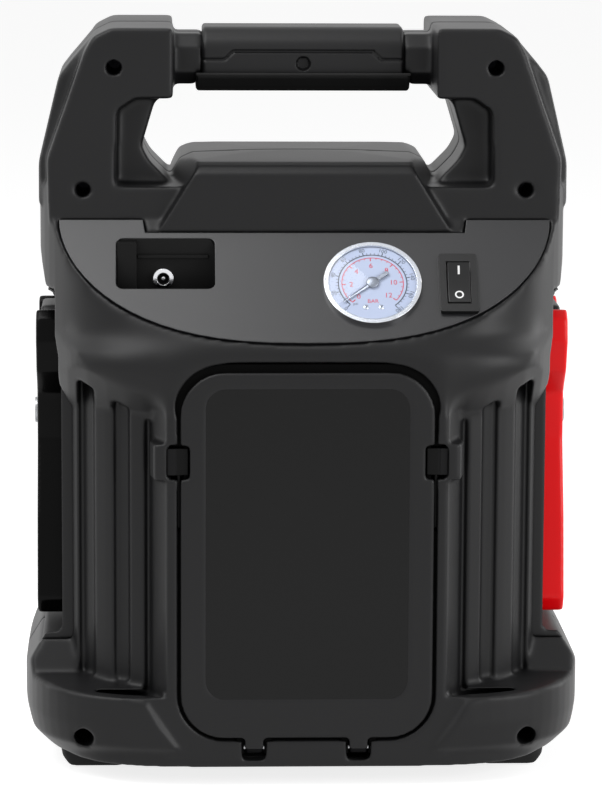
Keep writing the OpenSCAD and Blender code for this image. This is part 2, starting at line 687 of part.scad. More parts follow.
bay_low = door_low + 1.6;
bay_high = door_high - 1.6;
module bay_shape(gx, gz)
    polygon(plate_outline(-bay_half - gx, bay_half + gx, bay_low - gz, bay_high + gz, 14 + gz));
module hose_bay() color("#262627") difference() {
    union() {
        along_y(-bay_face, -bay_face + 2) bay_shape(7, 5);
        along_y(-bay_face, -bay_face + bay_depth + bay_wall) bay_shape(bay_wall, bay_wall);
        hinge_lugs();
    }
    along_y(-far, -bay_face + bay_depth) bay_shape(0, 0);
    for (s = [-1, 1]) block([s * hinge_x - hinge_w / 2 - 0.4, s * hinge_x + hinge_w / 2 + 0.4],
        [-far, -bay_face + 5], [hinge_z - 8, bay_low + 1]);
    for (s = [-1, 1]) bar_x(pin_r, -hinge_y, hinge_z, s * hinge_x - pin_half, s * hinge_x + pin_half);
    latch_wells();
    bar_y(4.5, hose_x, hose_z, -bay_face + bay_depth - 1, far);
}

module latch_pockets() both_sides() {
    block([door_w / 2, latch_x[1] - fit], [-far, -bay_face + 1],
        [latch_z - latch_h / 2 - 1.8, latch_z + latch_h / 2 + 1.8]);
    block([door_w / 2, latch_x[1] + latch_travel + fit], [-plinth_rear + latch_sink - fit, -bay_face + 1],
        [latch_z - latch_h / 2 - fit, latch_z + latch_h / 2 + fit]);
}
module latch_wells() both_sides() block([bay_half + bay_wall, far], [-far, -bay_face + 6],
    [latch_z - 32, latch_z + latch_h / 2 + 1]);

// Latch with its thumb block, the nib behind the door's edge and the spring leaf behind the wall
module door_latch() {
    block(latch_x, [-plinth_rear + latch_sink, -bay_face],
        [latch_z - latch_h / 2, latch_z + latch_h / 2]);
    block([door_w / 2 - latch_notch + 0.8, latch_x[1]], [-door_y + door_t + fit, -bay_face],
        [latch_z - latch_h / 2, latch_z + latch_h / 2]);
    block([door_w / 2 + 0.1, door_w / 2 + 1.3], [-bay_face, -bay_face + 3.4],
        [latch_z - 30, latch_z + latch_h / 2]);
}
module door_latch_left() color(charcoal) mirror([1, 0, 0]) door_latch();
module door_latch_right() color(charcoal) door_latch();

hose_x = 15 - bay_half;
hose_z = bay_high - 17.3;
module hose_fitting() color("#b99a4a") union() {
    bar_y(4.2, hose_x, hose_z, -bay_face + bay_depth - 14, -bay_face + bay_depth + bay_wall + 1.5);
    bar_y(7, hose_x, hose_z, -bay_face + bay_depth - 3, -bay_face + bay_depth);
    for (i = [0:2]) translate([hose_x, -bay_face + bay_depth - 14 + 3 * i, hose_z]) rotate([-90, 0, 0])
        cylinder(r1 = 3.4, r2 = 5, h = 2.6, $fn = round_n);
}

// ---- Gauge ----------------------------------------------------------------

gauge_in = gauge_r - 2.1;
module gauge_case() color("#b8babd") on_rear_slope(gauge_x) difference() {
    union() {
        rod(gauge_r - 0.9 - seat, gauge_depth, -gauge_depth);
        rod(gauge_r, 2.4);
    }
    rod(gauge_in, 3, 0.6);
    rod(gauge_in - 1.4, gauge_depth, -gauge_depth + 1.2);
}
module gauge_dial() color("#dfe4ee") on_rear_slope(gauge_x) difference() {
    rod(gauge_in - seat, 0.8, 0.6);
    rod(1.6, 4, -1);
}
module gauge_screws() color("#8b8d92") on_rear_slope(gauge_x) for (s = [-1, 1])
    translate([s * 3.4, -13, 1.4]) rod(1.3, 0.5);
needle_rest = 128;       // direction of the pointer at zero, clockwise from the top
module gauge_needle() color("#8d8f93") on_rear_slope(gauge_x) rotate([0, 0, needle_rest]) union() {
    rod(3, 1.3, 1.9);
    rod(1.4, 2.6, -0.6);
    translate([0, 0, 2.2]) linear_extrude(0.6)
        polygon([[-1.1, -8], [1.1, -8], [0.9, 0], [0.3, 15.5], [-0.3, 15.5], [-0.9, 0]]);
}
// Section of the domed lens: half of it, from its foot at z, with radius r0 and its rim at height h
function dome(r0, z, h) = concat([[0, z], [r0, z]],
    [for (i = [0:6]) let (r = r0 * (1 - i / 6)) [r, h + 2.6 * (1 - pow(r / gauge_r, 2))]]);
module gauge_lens() color([0.85, 0.92, 1, 0.35]) on_rear_slope(gauge_x) difference() {
    rotate_extrude($fn = round_n) polygon(dome(gauge_r - 0.4, 0, 3.5));
    rotate_extrude($fn = round_n) polygon(dome(gauge_in, -1, 2.5));
    tube(far, gauge_in - 0.2, 3.4, -1);
}

// ---- Compressor switch ----------------------------------------------------

module compressor_switch_frame() color("#171717") on_rear_slope(switch_x) difference() {
    union() {
        linear_extrude(2.2)
            polygon(plate_outline(-switch_w / 2, switch_w / 2, -switch_l / 2, switch_l / 2, 1.2));
        translate([-switch_w / 2 + 1.7, -switch_l / 2 + 1.7, -24])
            cube([switch_w - 3.4, switch_l - 3.4, 24.5]);
    }
    translate([-switch_w / 2 + 3.3, -switch_l / 2 + 4.2, -9]) cube([switch_w - 6.6, switch_l - 8.4, 20]);
    translate([-switch_w / 2, 0, -2.5]) rotate([0, 90, 0]) rod(1.5 + slip, switch_w - 1.9, 1.9);
}
rocker_half = switch_w / 2 - 3.3 - fit;
rocker_reach = switch_l / 2 - 5.9;
module compressor_switch_rocker() color("#1d1d1d") on_rear_slope(switch_x) translate([0, 0, -2.5])
    rotate([rocker_tilt, 0, 0]) union() {
        along_x(-rocker_half, rocker_half) polygon([[-2.5, -2.5], [2.5, -2.5], [rocker_reach, 4.4],
            [rocker_reach, 7.2], [0, 5.4], [-rocker_reach, 7.2], [-rocker_reach, 4.4]]);
        bar_x(1.5, 0, 0, -switch_w / 2 + 2.1, switch_w / 2 - 2.1);
    }

// ---- Charging jack --------------------------------------------------------

jack_z = slope_z + 0.8;
jack_x = recess_x - 1;
jack_face = 17.3 - slope_rear;   // depth of the upright back wall that carries the jack
tray_down = 9.5;
tray_up = 19;
tray_t = 1.6;
// Tray behind the slope
module recess_space(g, back) translate([recess_x, 0, 0]) intersection() {
    block([-recess_half - g, recess_half + g], [-far, jack_face + back],
        [jack_z - tray_down - g, jack_z + tray_up + g]);
    translate([0, -slope_rear, slope_z]) rotate([slope, 0, 0])
        block([-far, far], [recess_low - g - 4, recess_up + g], [-60, 0]);
}
module jack_recess() color("#3d3d3f") difference() {
    recess_space(tray_t, tray_t);
    recess_space(0, 0);
    bar_y(jack_r - 0.6 + seat, jack_x, jack_z, -far, 0);
    on_rear_slope() panel_cutter();
}
module panel_cutter() difference() {
    translate([0, 0, -panel_t]) linear_extrude(far / 8) polygon(panel_outline(8));
    translate([recess_x, 0, 0]) recess_mouth(0);
}
module charge_jack() color("#c9ccd0") difference() {
    union() {
        bar_y(jack_r, jack_x, jack_z, jack_face - 2.6, jack_face);
        bar_y(jack_r - 0.6, jack_x, jack_z, jack_face - 1, jack_face + 14);
    }
    bar_y(jack_r - 1.8, jack_x, jack_z, -far, jack_face + 11);
    bar_y(0.8, jack_x, jack_z, -far, far);
}
module charge_jack_pin() color("#d8dadd") bar_y(0.8, jack_x, jack_z, jack_face - 0.6, jack_face + 14);

// ---- Battery --------------------------------------------------------------

module battery() color("#2b2d31")
    block([-battery_l / 2, battery_l / 2], [-battery_rear, battery_d - battery_rear], [battery_z, battery_top]);
terminal_y = battery_d - battery_rear - 14;
module battery_terminals() color("#a7a9ac") for (s = [-1, 1]) difference() {
    block([s * (battery_l / 2 - 12) - 6, s * (battery_l / 2 - 12) + 6], [terminal_y - 6, terminal_y + 6],
        [battery_top, battery_top + 5]);
    translate([s * (battery_l / 2 - 12), terminal_y, battery_top]) rod(2.6, 20, -1);
}
strap_t = 1.5;
module battery_strap() color("#8a8d90") difference() {
    block([case_x[0] - 6, case_x[1] + 20], [-battery_rear - strap_t, battery_d - battery_rear + strap_t],
        [battery_z, battery_top + strap_t]);
    block([-far, far], [-battery_rear, battery_d - battery_rear], [0, battery_top]);
}

// ---- Compressor -----------------------------------------------------------

case_x = [-30, -6];
motor_y = 4;
motor_z = battery_top + strap_t + motor_r + 4;
head_h = 9;
head_z = hump_z - wall - head_h - 8;
module compressor_motor() color("#9a9da1") bar_x(motor_r, motor_y, motor_z, case_x[0] - motor_l, case_x[0]);
module compressor_gearcase() color("#2f3134") union() {
    block(case_x, [motor_y - motor_r, motor_y + motor_r], [battery_top + strap_t, case_top]);
    both_motor_feet();
}
module both_motor_feet() for (s = [-1, 1]) block([case_x[0] - 4, case_x[1] + 4],
    [motor_y + s * (motor_r + 3) - 4, motor_y + s * (motor_r + 3) + 4],
    [battery_top + strap_t, battery_top + strap_t + 3]);
case_mid = (case_x[0] + case_x[1]) / 2;
case_top = motor_z + motor_r + 1;
module compressor_cylinder() color("#b0b3b6") translate([case_mid, motor_y, 0]) {
    rod(cylinder_r, head_z - case_top, case_top);
    for (z = [case_top + 4:4:head_z - 4]) rod(cylinder_r + 3, 1.4, z);
}
module compressor_head() color("#a4a7aa") translate([case_mid, motor_y, 0]) union() {
    translate([-14, -14, head_z]) cube([28, 28, head_h]);
    translate([14, 0, head_z + head_h / 2]) rotate([0, 90, 0]) rod(3, 8, -1);
}

// ---- Front controls -------------------------------------------------------

board_z = -14;
module circuit_board() color("#1f5a36") on_front_slope() {
    translate([-90, -14, board_z]) cube([56, 34, 1.6]);
    for (p = [[-86, 16], [-37, 16]]) at(p) rod(3, -board_z - panel_t - 1.6, board_z + 1.6);
}
module status_lights() color("#c8e6c0") on_front_slope() for (x = led_x) at([x, led_y])
    rod(2, 1.2 - board_z - 1.6, board_z + 1.6);
module push_button() union() {
    rod(button_r, 5.4, -3.2);
    rod(button_r + 1.4, 1.2, -panel_t - fit - 1.2);
    rod(1.6, 7.2, board_z + 1.6 + fit + button_travel);
}
module test_button() color("#c4c4c4") on_front_slope() at(test_spot) push_button();
module light_button() color("#d07a1e") on_front_slope() at(light_spot) push_button();

module main_switch_base() color("#1a1a1b") on_front_slope() difference() {
    union() {
        rod(knob_r + 3, 2);
        rod(knob_r - 1 - seat, 24, -24);
    }
    rod(4 + slip, 20, -12);
}
module main_switch_knob() color("#b3151b") on_front_slope() union() {
    rod(knob_r, 7, 2 + fit);
    rod(4, 16, -11);
    translate([0, 0, 9]) linear_extrude(12) polygon(plate_outline(-knob_r + 1, knob_r - 1, -5, 5, 4));
}

module socket_shell() color("#1c1c1d") on_front_slope(socket_x) difference() {
    union() {
        rod(socket_r + 6.5, 2.4);
        rod(socket_r + 3 - seat, socket_depth + 5, -socket_depth - 5);
        translate([-7, socket_r + 5.5, 0]) cube([14, 6, 2.4]);
        for (s = [-1, 1]) translate([s * 5.7 - 1.3, cap_hinge - 1.8, 0]) cube([2.6, 3.6, cap_axis + 1.8]);
    }
    rod(socket_r + 1.2, far, -socket_depth);
    rod(contact_r + slip, 20, -socket_depth - 3);
    translate([-far / 2, cap_hinge, cap_axis]) rotate([0, 90, 0]) rod(1 + slip, far);
}
module socket_barrel() color("#b9bbbe") on_front_slope(socket_x) difference() {
    rod(socket_r + 1.2 - 0.02, socket_depth + 2.2, -socket_depth);
    rod(socket_r, socket_depth + 5, -socket_depth + 1);
    rod(contact_r + 1, 20, -socket_depth - 2);
}
contact_r = 4;
module socket_contact() color("#c9a24a") on_front_slope(socket_x) rod(contact_r, 3.8, -socket_depth - 3);
cap_hinge = socket_r + 8.6;
cap_axis = 4.3;
module socket_cap() color("#202021") on_front_slope(socket_x) union() {
    rod(socket_r + 5.5, 2.4, 2.4 + fit);
    translate([-4, socket_r, 2.4 + fit]) cube([8, 8.6, 2.2]);
    translate([-4.1, cap_hinge, cap_axis]) rotate([0, 90, 0]) rod(1.6, 8.2);
    translate([-7, cap_hinge, cap_axis]) rotate([0, 90, 0]) rod(1, 14);
}

// ---- Work light in the front of the hump ----------------------------------

light_z = hump_z - 20;
function light_outline(g) = plate_outline(-light_w / 2 - g, light_w / 2 + g, light_z - light_h / 2 - g,
    light_z + light_h / 2 + g, 4 + g);
module light_window() along_y(hump_d - 2 * wall, far) polygon(light_outline(seat));
module light_lens() color([0.95, 0.97, 1, 0.5])
    along_y(hump_d - wall, hump_d + 0.4) polygon(light_outline(0));
module light_reflector() color("#d9dbdd") difference() {
    along_y(hump_d - wall - 9, hump_d - wall) polygon(light_outline(1.5));
    along_y(hump_d - wall - 7.6, far) polygon(light_outline(-1));
}
module light_leds() color("#f4e9b8") for (i = [0:5]) let (x = light_w * ((i + 0.5) / 6 - 0.5))
    block([x - 2.5, x + 2.5], [hump_d - wall - 7.6, hump_d - wall - 6], [light_z - 2.5, light_z + 2.5]);

// ---- Clamps ---------------------------------------------------------------

gland_r = 6.5;
gland_x = 90;
gland_z = 30;
gland_y = plinth_front - 7;
module gland_bosses()
    for (s = [-1, 1]) bar_y(gland_r + 2 + wall, s * gland_x, gland_z, gland_y - wall, far);
module cable_glands() color(rubber_black) for (s = [-1, 1]) difference() {
    union() {
        bar_y(gland_r - 0.02, s * gland_x, gland_z, gland_y - 14, gland_y + 6);
        bar_y(gland_r + 2, s * gland_x, gland_z, gland_y, gland_y + 7);
    }
    bar_y(4, s * gland_x, gland_z, 60, far);
}

// Side trays in the housing's windows, each with the boss that the jaws grip when the clamp is stored. Their thin
// rims leave the levers room to swing
dock_low = clamp_z + 21;
tray_rim = 1.4;
module clamp_docks() color(charcoal) union() {
    difference() {
        intersection() {
            skin(0);
            side_pockets(pocket_x - wall, wall);
        }
        side_pockets(pocket_x, wall - tray_rim);
    }
    both_sides() along_x(pocket_x - wall / 2, clamp_in + clamp_t - 2)
        polygon([[-12, dock_low], [12, dock_low], [17.4, dock_low + 8], [17.4, dock_low + 24],
            [13, dock_low + 30], [-13, dock_low + 30], [-17.4, dock_low + 24], [-17.4, dock_low + 8]]);
}

// Outline of one lever, measured from the pivot, jaw up and handle down
function lever_outline() = [[2.6, -12.2], [0.2 * clamp_handle, -clamp_handle + 3],
    [0.24 * clamp_handle, -clamp_handle], [0.31 * clamp_handle, -clamp_handle],
    [0.35 * clamp_handle, -clamp_handle + 7],
    [0.28 * clamp_handle, -clamp_handle / 2], [15, -12], [15, 10], [26, 22], [31, 36], [29, 47],
    [24, 51], [20, 49], [19.3, 44], [19.3, 28], [15, 21], [6, 14], [2.6, 12.2]];

// Lever in the YZ plane for Y > 0. The fixed one has cheeks outside, the moving one a hub between
module lever(fixed) difference() {
    union() {
        difference() {
            along_x(0, clamp_t) polygon(lever_outline());
            if (fixed) bar_x(10, 0, 0, cheek, clamp_t - cheek);
            else {
                bar_x(13, 0, 0, -1, cheek + fit);
                bar_x(13, 0, 0, clamp_t - cheek - fit, clamp_t + 1);
            }
        }
        if (fixed) for (x = [0, clamp_t - cheek]) bar_x(12, 0, 0, x, x + cheek);
        else bar_x(9, 0, 0, cheek + fit, clamp_t - cheek - fit);
    }
    bar_x(clamp_pin_r + slip, 0, 0, -1, clamp_t + 1);
    if (!fixed) bar_x(7.2, 0, 0, clamp_t / 2 - 2.2, clamp_t / 2 + 2.2);
}
// Toothed plate on the inner face of a jaw
module jaw_plate() along_x(3, clamp_t - 3) polygon(concat([[19.3, 28], [19.3, 44]],
    [for (i = [0:7]) [i % 2 == 0 ? 17.75 : 18.5, 43 - 2 * i]]));

// Places a piece of a clamp on the side s, -1 or 1, with its pivot at the origin
module stored(s)
    translate([0, 0, clamp_z]) mirror([s < 0 ? 1 : 0, 0, 0]) translate([clamp_in, 0, 0]) children();
module clamp_grip(s) stored(s) mirror([0, 1, 0]) lever(true);
module clamp_lever(s) stored(s) lever(false);
module clamp_pin(s) stored(s) union() {
    bar_x(clamp_pin_r, 0, 0, 0, clamp_t);
    bar_x(6, 0, 0, -1.1, 0);
    bar_x(6, 0, 0, clamp_t, clamp_t + 1.4);
}
module clamp_spring(s) stored(s) difference() {
    bar_x(6.4, 0, 0, clamp_t / 2 - 1.8, clamp_t / 2 + 1.8);
    bar_x(clamp_pin_r + 0.6, 0, 0, 0, clamp_t);
}
module black_clamp_grip() color("#141414") clamp_grip(-1);
module black_clamp_lever() color("#141414") clamp_lever(-1);
module black_clamp_pin() color("#8b8d90") clamp_pin(-1);
module black_clamp_spring() color("#6f7276") clamp_spring(-1);
module black_clamp_fixed_jaw() color(copper) stored(-1) mirror([0, 1, 0]) jaw_plate();
module black_clamp_moving_jaw() color(copper) stored(-1) jaw_plate();
module red_clamp_grip() color("#c8141c") clamp_grip(1);
module red_clamp_lever() color("#c8141c") clamp_lever(1);
module red_clamp_pin() color("#8b8d90") clamp_pin(1);
module red_clamp_spring() color("#6f7276") clamp_spring(1);
module red_clamp_fixed_jaw() color(copper) stored(1) mirror([0, 1, 0]) jaw_plate();
module red_clamp_moving_jaw() color(copper) stored(1) jaw_plate();

rear_housing();
front_housing();
rear_panel();
front_panel();
grip_cover();
grip_pad();
feet();
housing_screws();
hose_bay();
bay_hinge_pins();
hose_fitting();
hose_door();
label_plate();
door_latch_left();
door_latch_right();
gauge_case();
gauge_dial();
gauge_screws();
gauge_needle();
gauge_lens();
compressor_switch_frame();
compressor_switch_rocker();
jack_recess();
charge_jack();
charge_jack_pin();
battery();
battery_terminals();
battery_strap();
compressor_motor();
compressor_gearcase();
compressor_cylinder();
compressor_head();
circuit_board();
status_lights();
test_button();
light_button();
light_reflector();
light_leds();
light_lens();
main_switch_base();
main_switch_knob();
socket_shell();
socket_barrel();
socket_contact();
socket_cap();
clamp_docks();
cable_glands();
black_clamp_grip();
black_clamp_lever();
black_clamp_pin();
black_clamp_spring();
black_clamp_fixed_jaw();
black_clamp_moving_jaw();
red_clamp_grip();
red_clamp_lever();
red_clamp_pin();
red_clamp_spring();
red_clamp_fixed_jaw();
red_clamp_moving_jaw();
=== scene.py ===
"""Jump starter pack with a tyre compressor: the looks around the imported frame.

Everything is in metres, in the frame of the CAD model: +Z up, the floor at Z = 0, the face with the gauge
and the hose door towards -Y, and the two housing halves meeting at Y = 0.
"""

import json
import math

import bmesh
import bpy
import numpy as np
from mathutils import Matrix, Vector


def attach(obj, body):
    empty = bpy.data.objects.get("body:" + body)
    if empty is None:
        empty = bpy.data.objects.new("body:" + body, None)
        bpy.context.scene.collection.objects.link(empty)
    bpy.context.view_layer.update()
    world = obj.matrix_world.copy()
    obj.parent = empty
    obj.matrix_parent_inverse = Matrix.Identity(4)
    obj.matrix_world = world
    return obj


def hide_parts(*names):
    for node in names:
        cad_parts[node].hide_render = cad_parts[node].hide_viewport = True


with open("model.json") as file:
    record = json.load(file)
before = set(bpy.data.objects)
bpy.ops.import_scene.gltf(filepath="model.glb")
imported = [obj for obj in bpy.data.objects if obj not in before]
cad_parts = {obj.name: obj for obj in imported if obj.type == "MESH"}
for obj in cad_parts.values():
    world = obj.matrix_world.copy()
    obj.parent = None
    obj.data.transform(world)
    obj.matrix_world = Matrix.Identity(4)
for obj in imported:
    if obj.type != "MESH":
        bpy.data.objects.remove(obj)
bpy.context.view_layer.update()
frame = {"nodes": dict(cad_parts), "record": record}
scene = bpy.context.scene
scene.view_settings.view_transform = "Standard"
nodes = frame["nodes"]
body_of = {n: b for b, members in frame["record"]["behaviour"]["bodies"].items() for n in members}

MM = 0.001
SLOPE = math.radians(47.6)          # angle of both control slopes from the horizontal
REAR_SLOPE = (-0.0733, 0.2247)      # Y and Z of the controls' centre line on the rear slope
GAUGE_X, SWITCH_X = 29.5, 68.0      # middles of the gauge and the rocker switch across the rear slope, in mm

# ---- Camera ---------------------------------------------------------------

AZIMUTH = math.radians(-2.186)
ELEVATION = math.radians(9.566)
ROLL = math.radians(0.283)
LOOK_AT = Vector((-3.09 * MM, -95 * MM, 175.82 * MM))
DISTANCE = 1.663
FOCAL_PX = 3750.0
PICTURE = (602, 802)


def make_camera():
    """Camera on a sphere round LOOK_AT, with its long side across the picture's height."""
    back = Vector((math.sin(AZIMUTH) * math.cos(ELEVATION),
                   -math.cos(AZIMUTH) * math.cos(ELEVATION), math.sin(ELEVATION)))
    right = Vector((math.cos(AZIMUTH), math.sin(AZIMUTH), 0))
    up = back.cross(right)
    turned_right = math.cos(ROLL) * right + math.sin(ROLL) * up
    turned_up = math.cos(ROLL) * up - math.sin(ROLL) * right
    data = bpy.data.cameras.new("camera")
    data.sensor_width = 36.0
    data.lens = data.sensor_width * FOCAL_PX / max(PICTURE)
    data.clip_start, data.clip_end = 0.05, 50
    camera = bpy.data.objects.new("camera", data)
    rotation = Matrix((turned_right, turned_up, back)).transposed().to_4x4()
    camera.matrix_world = Matrix.Translation(LOOK_AT + back * DISTANCE) @ rotation
    scene.collection.objects.link(camera)
    scene.camera = camera


# ---- Materials ------------------------------------------------------------

def linear(hex_colour):
    """sRGB hex colour to linear RGBA."""
    channels = [int(hex_colour[i:i + 2], 16) / 255 for i in (1, 3, 5)]
    return [c / 12.92 if c <= 0.04045 else ((c + 0.055) / 1.055) ** 2.4 for c in channels] + [1.0]


def add(tree, kind, inputs=None, **settings):
    """Adds a node, sets its attributes, and sets or links its inputs."""
    node = tree.nodes.new(kind)
    for key, value in settings.items():
        setattr(node, key, value)
    for key, value in (inputs or {}).items():
        if isinstance(value, bpy.types.NodeSocket):
            tree.links.new(value, node.inputs[key])
        else:
            node.inputs[key].default_value = value
    return node


def new_material(name):
    """Empty node material with its output node."""
    material = bpy.data.materials.new(name)
    material.use_nodes = True
    material.node_tree.nodes.clear()
    return material, material.node_tree, add(material.node_tree, "ShaderNodeOutputMaterial")


def moulded(name, colour, rough, grain, depth, edge, shine=0.5, dark=None, **sockets):
    """Injection-moulded plastic or rubber. grain is the spark-eroded texture's spacing in metres, depth its
    height, and edge the radius over which the mould rounds an edge. dark is an axis with two distances from the
    middle: at the first the plastic is black, from the second on it has its own colour."""
    material, tree, out = new_material(name)
    where = add(tree, "ShaderNodeTexCoord").outputs["Object"]
    fine = add(tree, "ShaderNodeTexNoise", {"Vector": where, "Scale": 1 / grain, "Detail": 3.0,
                                            "Roughness": 0.6})
    broad = add(tree, "ShaderNodeTexNoise", {"Vector": where, "Scale": 14.0, "Detail": 2.0})
    low, high = ([c * share for c in linear(colour)[:3]] + [1.0] for share in (0.9, 1.1))
    tint = add(tree, "ShaderNodeMix", {0: broad.outputs["Fac"], 6: low, 7: high},
               data_type="RGBA").outputs[2]
    if dark:
        axis, black_at, clear_at = dark
        place = add(tree, "ShaderNodeSeparateXYZ", {0: where}).outputs[axis]
        away = add(tree, "ShaderNodeMath", {0: place}, operation="ABSOLUTE").outputs[0]
        line = add(tree, "ShaderNodeMapRange", {"Value": away, "From Min": black_at,
                                                "From Max": clear_at})
        tint = add(tree, "ShaderNodeMix", {0: line.outputs[0], 6: linear("#020202"), 7: tint},
                   data_type="RGBA").outputs[2]
    roughness = add(tree, "ShaderNodeMapRange", {"Value": broad.outputs["Fac"],
                                                 "To Min": rough - 0.05,
                                                 "To Max": rough + 0.05}).outputs[0]
    rounded = add(tree, "ShaderNodeBevel", {"Radius": edge}, samples=6).outputs[0]
    normal = add(tree, "ShaderNodeBump", {"Height": fine.outputs["Fac"], "Distance": depth, "Strength": 1.0,
                                          "Normal": rounded}).outputs[0]
    shader = add(tree, "ShaderNodeBsdfPrincipled", {"Base Color": tint, "Roughness": roughness,
                                                    "Normal": normal, "Specular IOR Level": shine,
                                                    **sockets})
    tree.links.new(shader.outputs[0], out.inputs[0])
    return material


def metal(name, colour, rough, spacing=0.3 * MM, depth=0.01 * MM):
    """Bare or plated metal with a fine unevenness of a spacing and a depth."""
    material, tree, out = new_material(name)
    where = add(tree, "ShaderNodeTexCoord").outputs["Object"]
    uneven = add(tree, "ShaderNodeTexNoise", {"Vector": where, "Scale": 1 / spacing, "Detail": 2.0})
    roughness = add(tree, "ShaderNodeMapRange", {"Value": uneven.outputs["Fac"], "To Min": rough * 0.7,
                                                 "To Max": rough * 1.3}).outputs[0]
    rounded = add(tree, "ShaderNodeBevel", {"Radius": 0.3 * MM}, samples=4).outputs[0]
    normal = add(tree, "ShaderNodeBump", {"Height": uneven.outputs["Fac"], "Distance": depth, "Strength": 1.0,
                                          "Normal": rounded}).outputs[0]
    shader = add(tree, "ShaderNodeBsdfPrincipled", {"Base Color": linear(colour), "Metallic": 1.0,
                                                    "Roughness": roughness, "Normal": normal})
    tree.links.new(shader.outputs[0], out.inputs[0])
    return material


def clear_acrylic(name, colour):
    """Thin cast acrylic, polished: light passes straight through, and its faces mirror more when seen
    edge-on."""
    material, tree, out = new_material(name)
    mirror = add(tree, "ShaderNodeBsdfGlossy", {"Color": [1, 1, 1, 1], "Roughness": 0.06})
    through = add(tree, "ShaderNodeBsdfTransparent", {"Color": linear(colour)})
    edge_on = add(tree, "ShaderNodeFresnel", {"IOR": 1.4}).outputs[0]
    path = add(tree, "ShaderNodeLightPath").outputs["Is Shadow Ray"]
    inside = add(tree, "ShaderNodeNewGeometry").outputs["Backfacing"]
    hidden = add(tree, "ShaderNodeMath", {0: path, 1: inside}, operation="MAXIMUM").outputs[0]
    facing = add(tree, "ShaderNodeMath", {0: 1.0, 1: hidden}, operation="SUBTRACT").outputs[0]
    share = add(tree, "ShaderNodeMath", {0: edge_on, 1: facing}, operation="MULTIPLY").outputs[0]
    mixed = add(tree, "ShaderNodeMixShader", {0: share, 1: through.outputs[0], 2: mirror.outputs[0]})
    tree.links.new(mixed.outputs[0], out.inputs[0])
    return material


def ink(name, colour):
    """Screen-printed ink: flat, slightly uneven where it lies thin."""
    return moulded(name, colour, 0.5, 0.4 * MM, 0.002 * MM, 0.02 * MM, 0.4)


MATERIALS = {
    # Spark-eroded ABS: almost black, with a fine even grain and soft moulded edges
    "charcoal_plastic": moulded("grained_black_abs", "#121213", 0.42, 0.9 * MM, 0.02 * MM, 1.1 * MM, 0.24,
                                dark=("Y", 0.15 * MM, 0.4 * MM)),
    # Satin ABS insert, a little lighter than the casing
    "panel_plastic": moulded("satin_grey_abs", "#1c1c1e", 0.33, 0.9 * MM, 0.012 * MM, 0.6 * MM, 0.48),
    "inner_plastic": moulded("satin_black_abs", "#151516", 0.45, 1.0 * MM, 0.01 * MM, 0.5 * MM, 0.35),
    "soft_rubber": moulded("matt_black_rubber", "#0c0c0c", 0.6, 1.1 * MM, 0.03 * MM, 1.0 * MM, 0.25),
    "black_steel": metal("black_oxide_steel", "#26262a", 0.4),
    "steel": metal("brushed_steel", "#a8a9ab", 0.3),
    "brass": metal("turned_brass", "#c09a52", 0.28),
    "label": moulded("gloss_film", "#060606", 0.24, 1.5 * MM, 0.004 * MM, 0.2 * MM, 0.2),
    "chrome_trim": metal("chrome_plate", "#d9dadd", 0.09),
    "dial": moulded("white_enamel", "#bfc5d6", 0.4, 0.8 * MM, 0.003 * MM, 0.1 * MM, 0.4),
    "clear": clear_acrylic("clear_acrylic", "#fafcff"),
    "black_gloss": moulded("gloss_black_abs", "#030303", 0.2, 1.2 * MM, 0.006 * MM, 0.5 * MM, 0.08),
    "battery_case": moulded("matt_battery_abs", "#232529", 0.55, 1.0 * MM, 0.02 * MM, 1.0 * MM),
    "lead": metal("cast_lead", "#7d7f84", 0.5),
    "alloy": metal("cast_aluminium", "#aeb0b3", 0.45, spacing=1.0 * MM, depth=0.05 * MM),
    "board": moulded("lacquered_board", "#12502c", 0.3, 1.0 * MM, 0.01 * MM, 0.2 * MM),
    "lamp": moulded("clear_resin_led", "#efe9c8", 0.15, 1.0 * MM, 0.004 * MM, 0.5 * MM),
    "key_grey": moulded("satin_grey_key", "#9a9a9a", 0.45, 0.9 * MM, 0.01 * MM, 0.6 * MM),
    "key_orange": moulded("satin_orange_key", "#d9771a", 0.45, 0.9 * MM, 0.01 * MM, 0.6 * MM),
    # Gloss red polypropylene; a faint red emission makes it glow a little, which is painted light
    "red_plastic": moulded("gloss_red_polypropylene_painted_glow", "#f0060e", 0.3, 1.2 * MM, 0.008 * MM, 1.0 * MM, 0.25,
                           **{"Emission Color": linear("#e00008"), "Emission Strength": 0.1}),
    "copper": metal("copper_plate", "#c4633a", 0.3),
}
# Unpolished inside of the charging recess
RECESS = moulded("matt_black_abs", "#0a0a0a", 0.5, 1.0 * MM, 0.01 * MM, 0.5 * MM, 0.14)
# Black nylon of the door latches with a grained thumb block; within 58 mm of the middle the bolt is painted
# black, as painted shade under the door's edge
LATCH = moulded("grained_black_nylon_painted_shade", "#101011", 0.5, 0.9 * MM, 0.02 * MM, 0.6 * MM, 0.12,
                dark=("X", 58.0 * MM, 58.5 * MM))
# Near-black finish of the hose compartment with almost no sheen: painted shade inside the compartment
BAY_PAINTED_SHADE = moulded("hose_bay_painted_shade", "#040404", 0.7, 1.2 * MM, 0.03 * MM, 0.8 * MM, 0.05)
# Satin nylon of the rocker switch
SWITCH = moulded("satin_black_nylon", "#0d0d0e", 0.3, 1.0 * MM, 0.008 * MM, 0.3 * MM, 0.36)
WHITE_INK = ink("white_ink", "#e8e8e8")
# Dark grey ink of the dial's print, also used for the painted shade of the gauge screws' cross slots
DARK_INK_AND_SHADE = ink("dark_ink_and_painted_shade", "#39404c")
RED_INK = ink("red_ink", "#d8283c")
# Finish of a piece that differs from its slot's
OWN_FINISH = {"jack_recess": RECESS, "hose_bay": BAY_PAINTED_SHADE, "door_latch_left": LATCH, "door_latch_right": LATCH,
              "compressor_switch_frame": SWITCH, "compressor_switch_rocker": SWITCH}
slot_of = {s["node"]: s["material_slot"] for s in frame["record"]["subparts"]}


# ---- Meshes ---------------------------------------------------------------

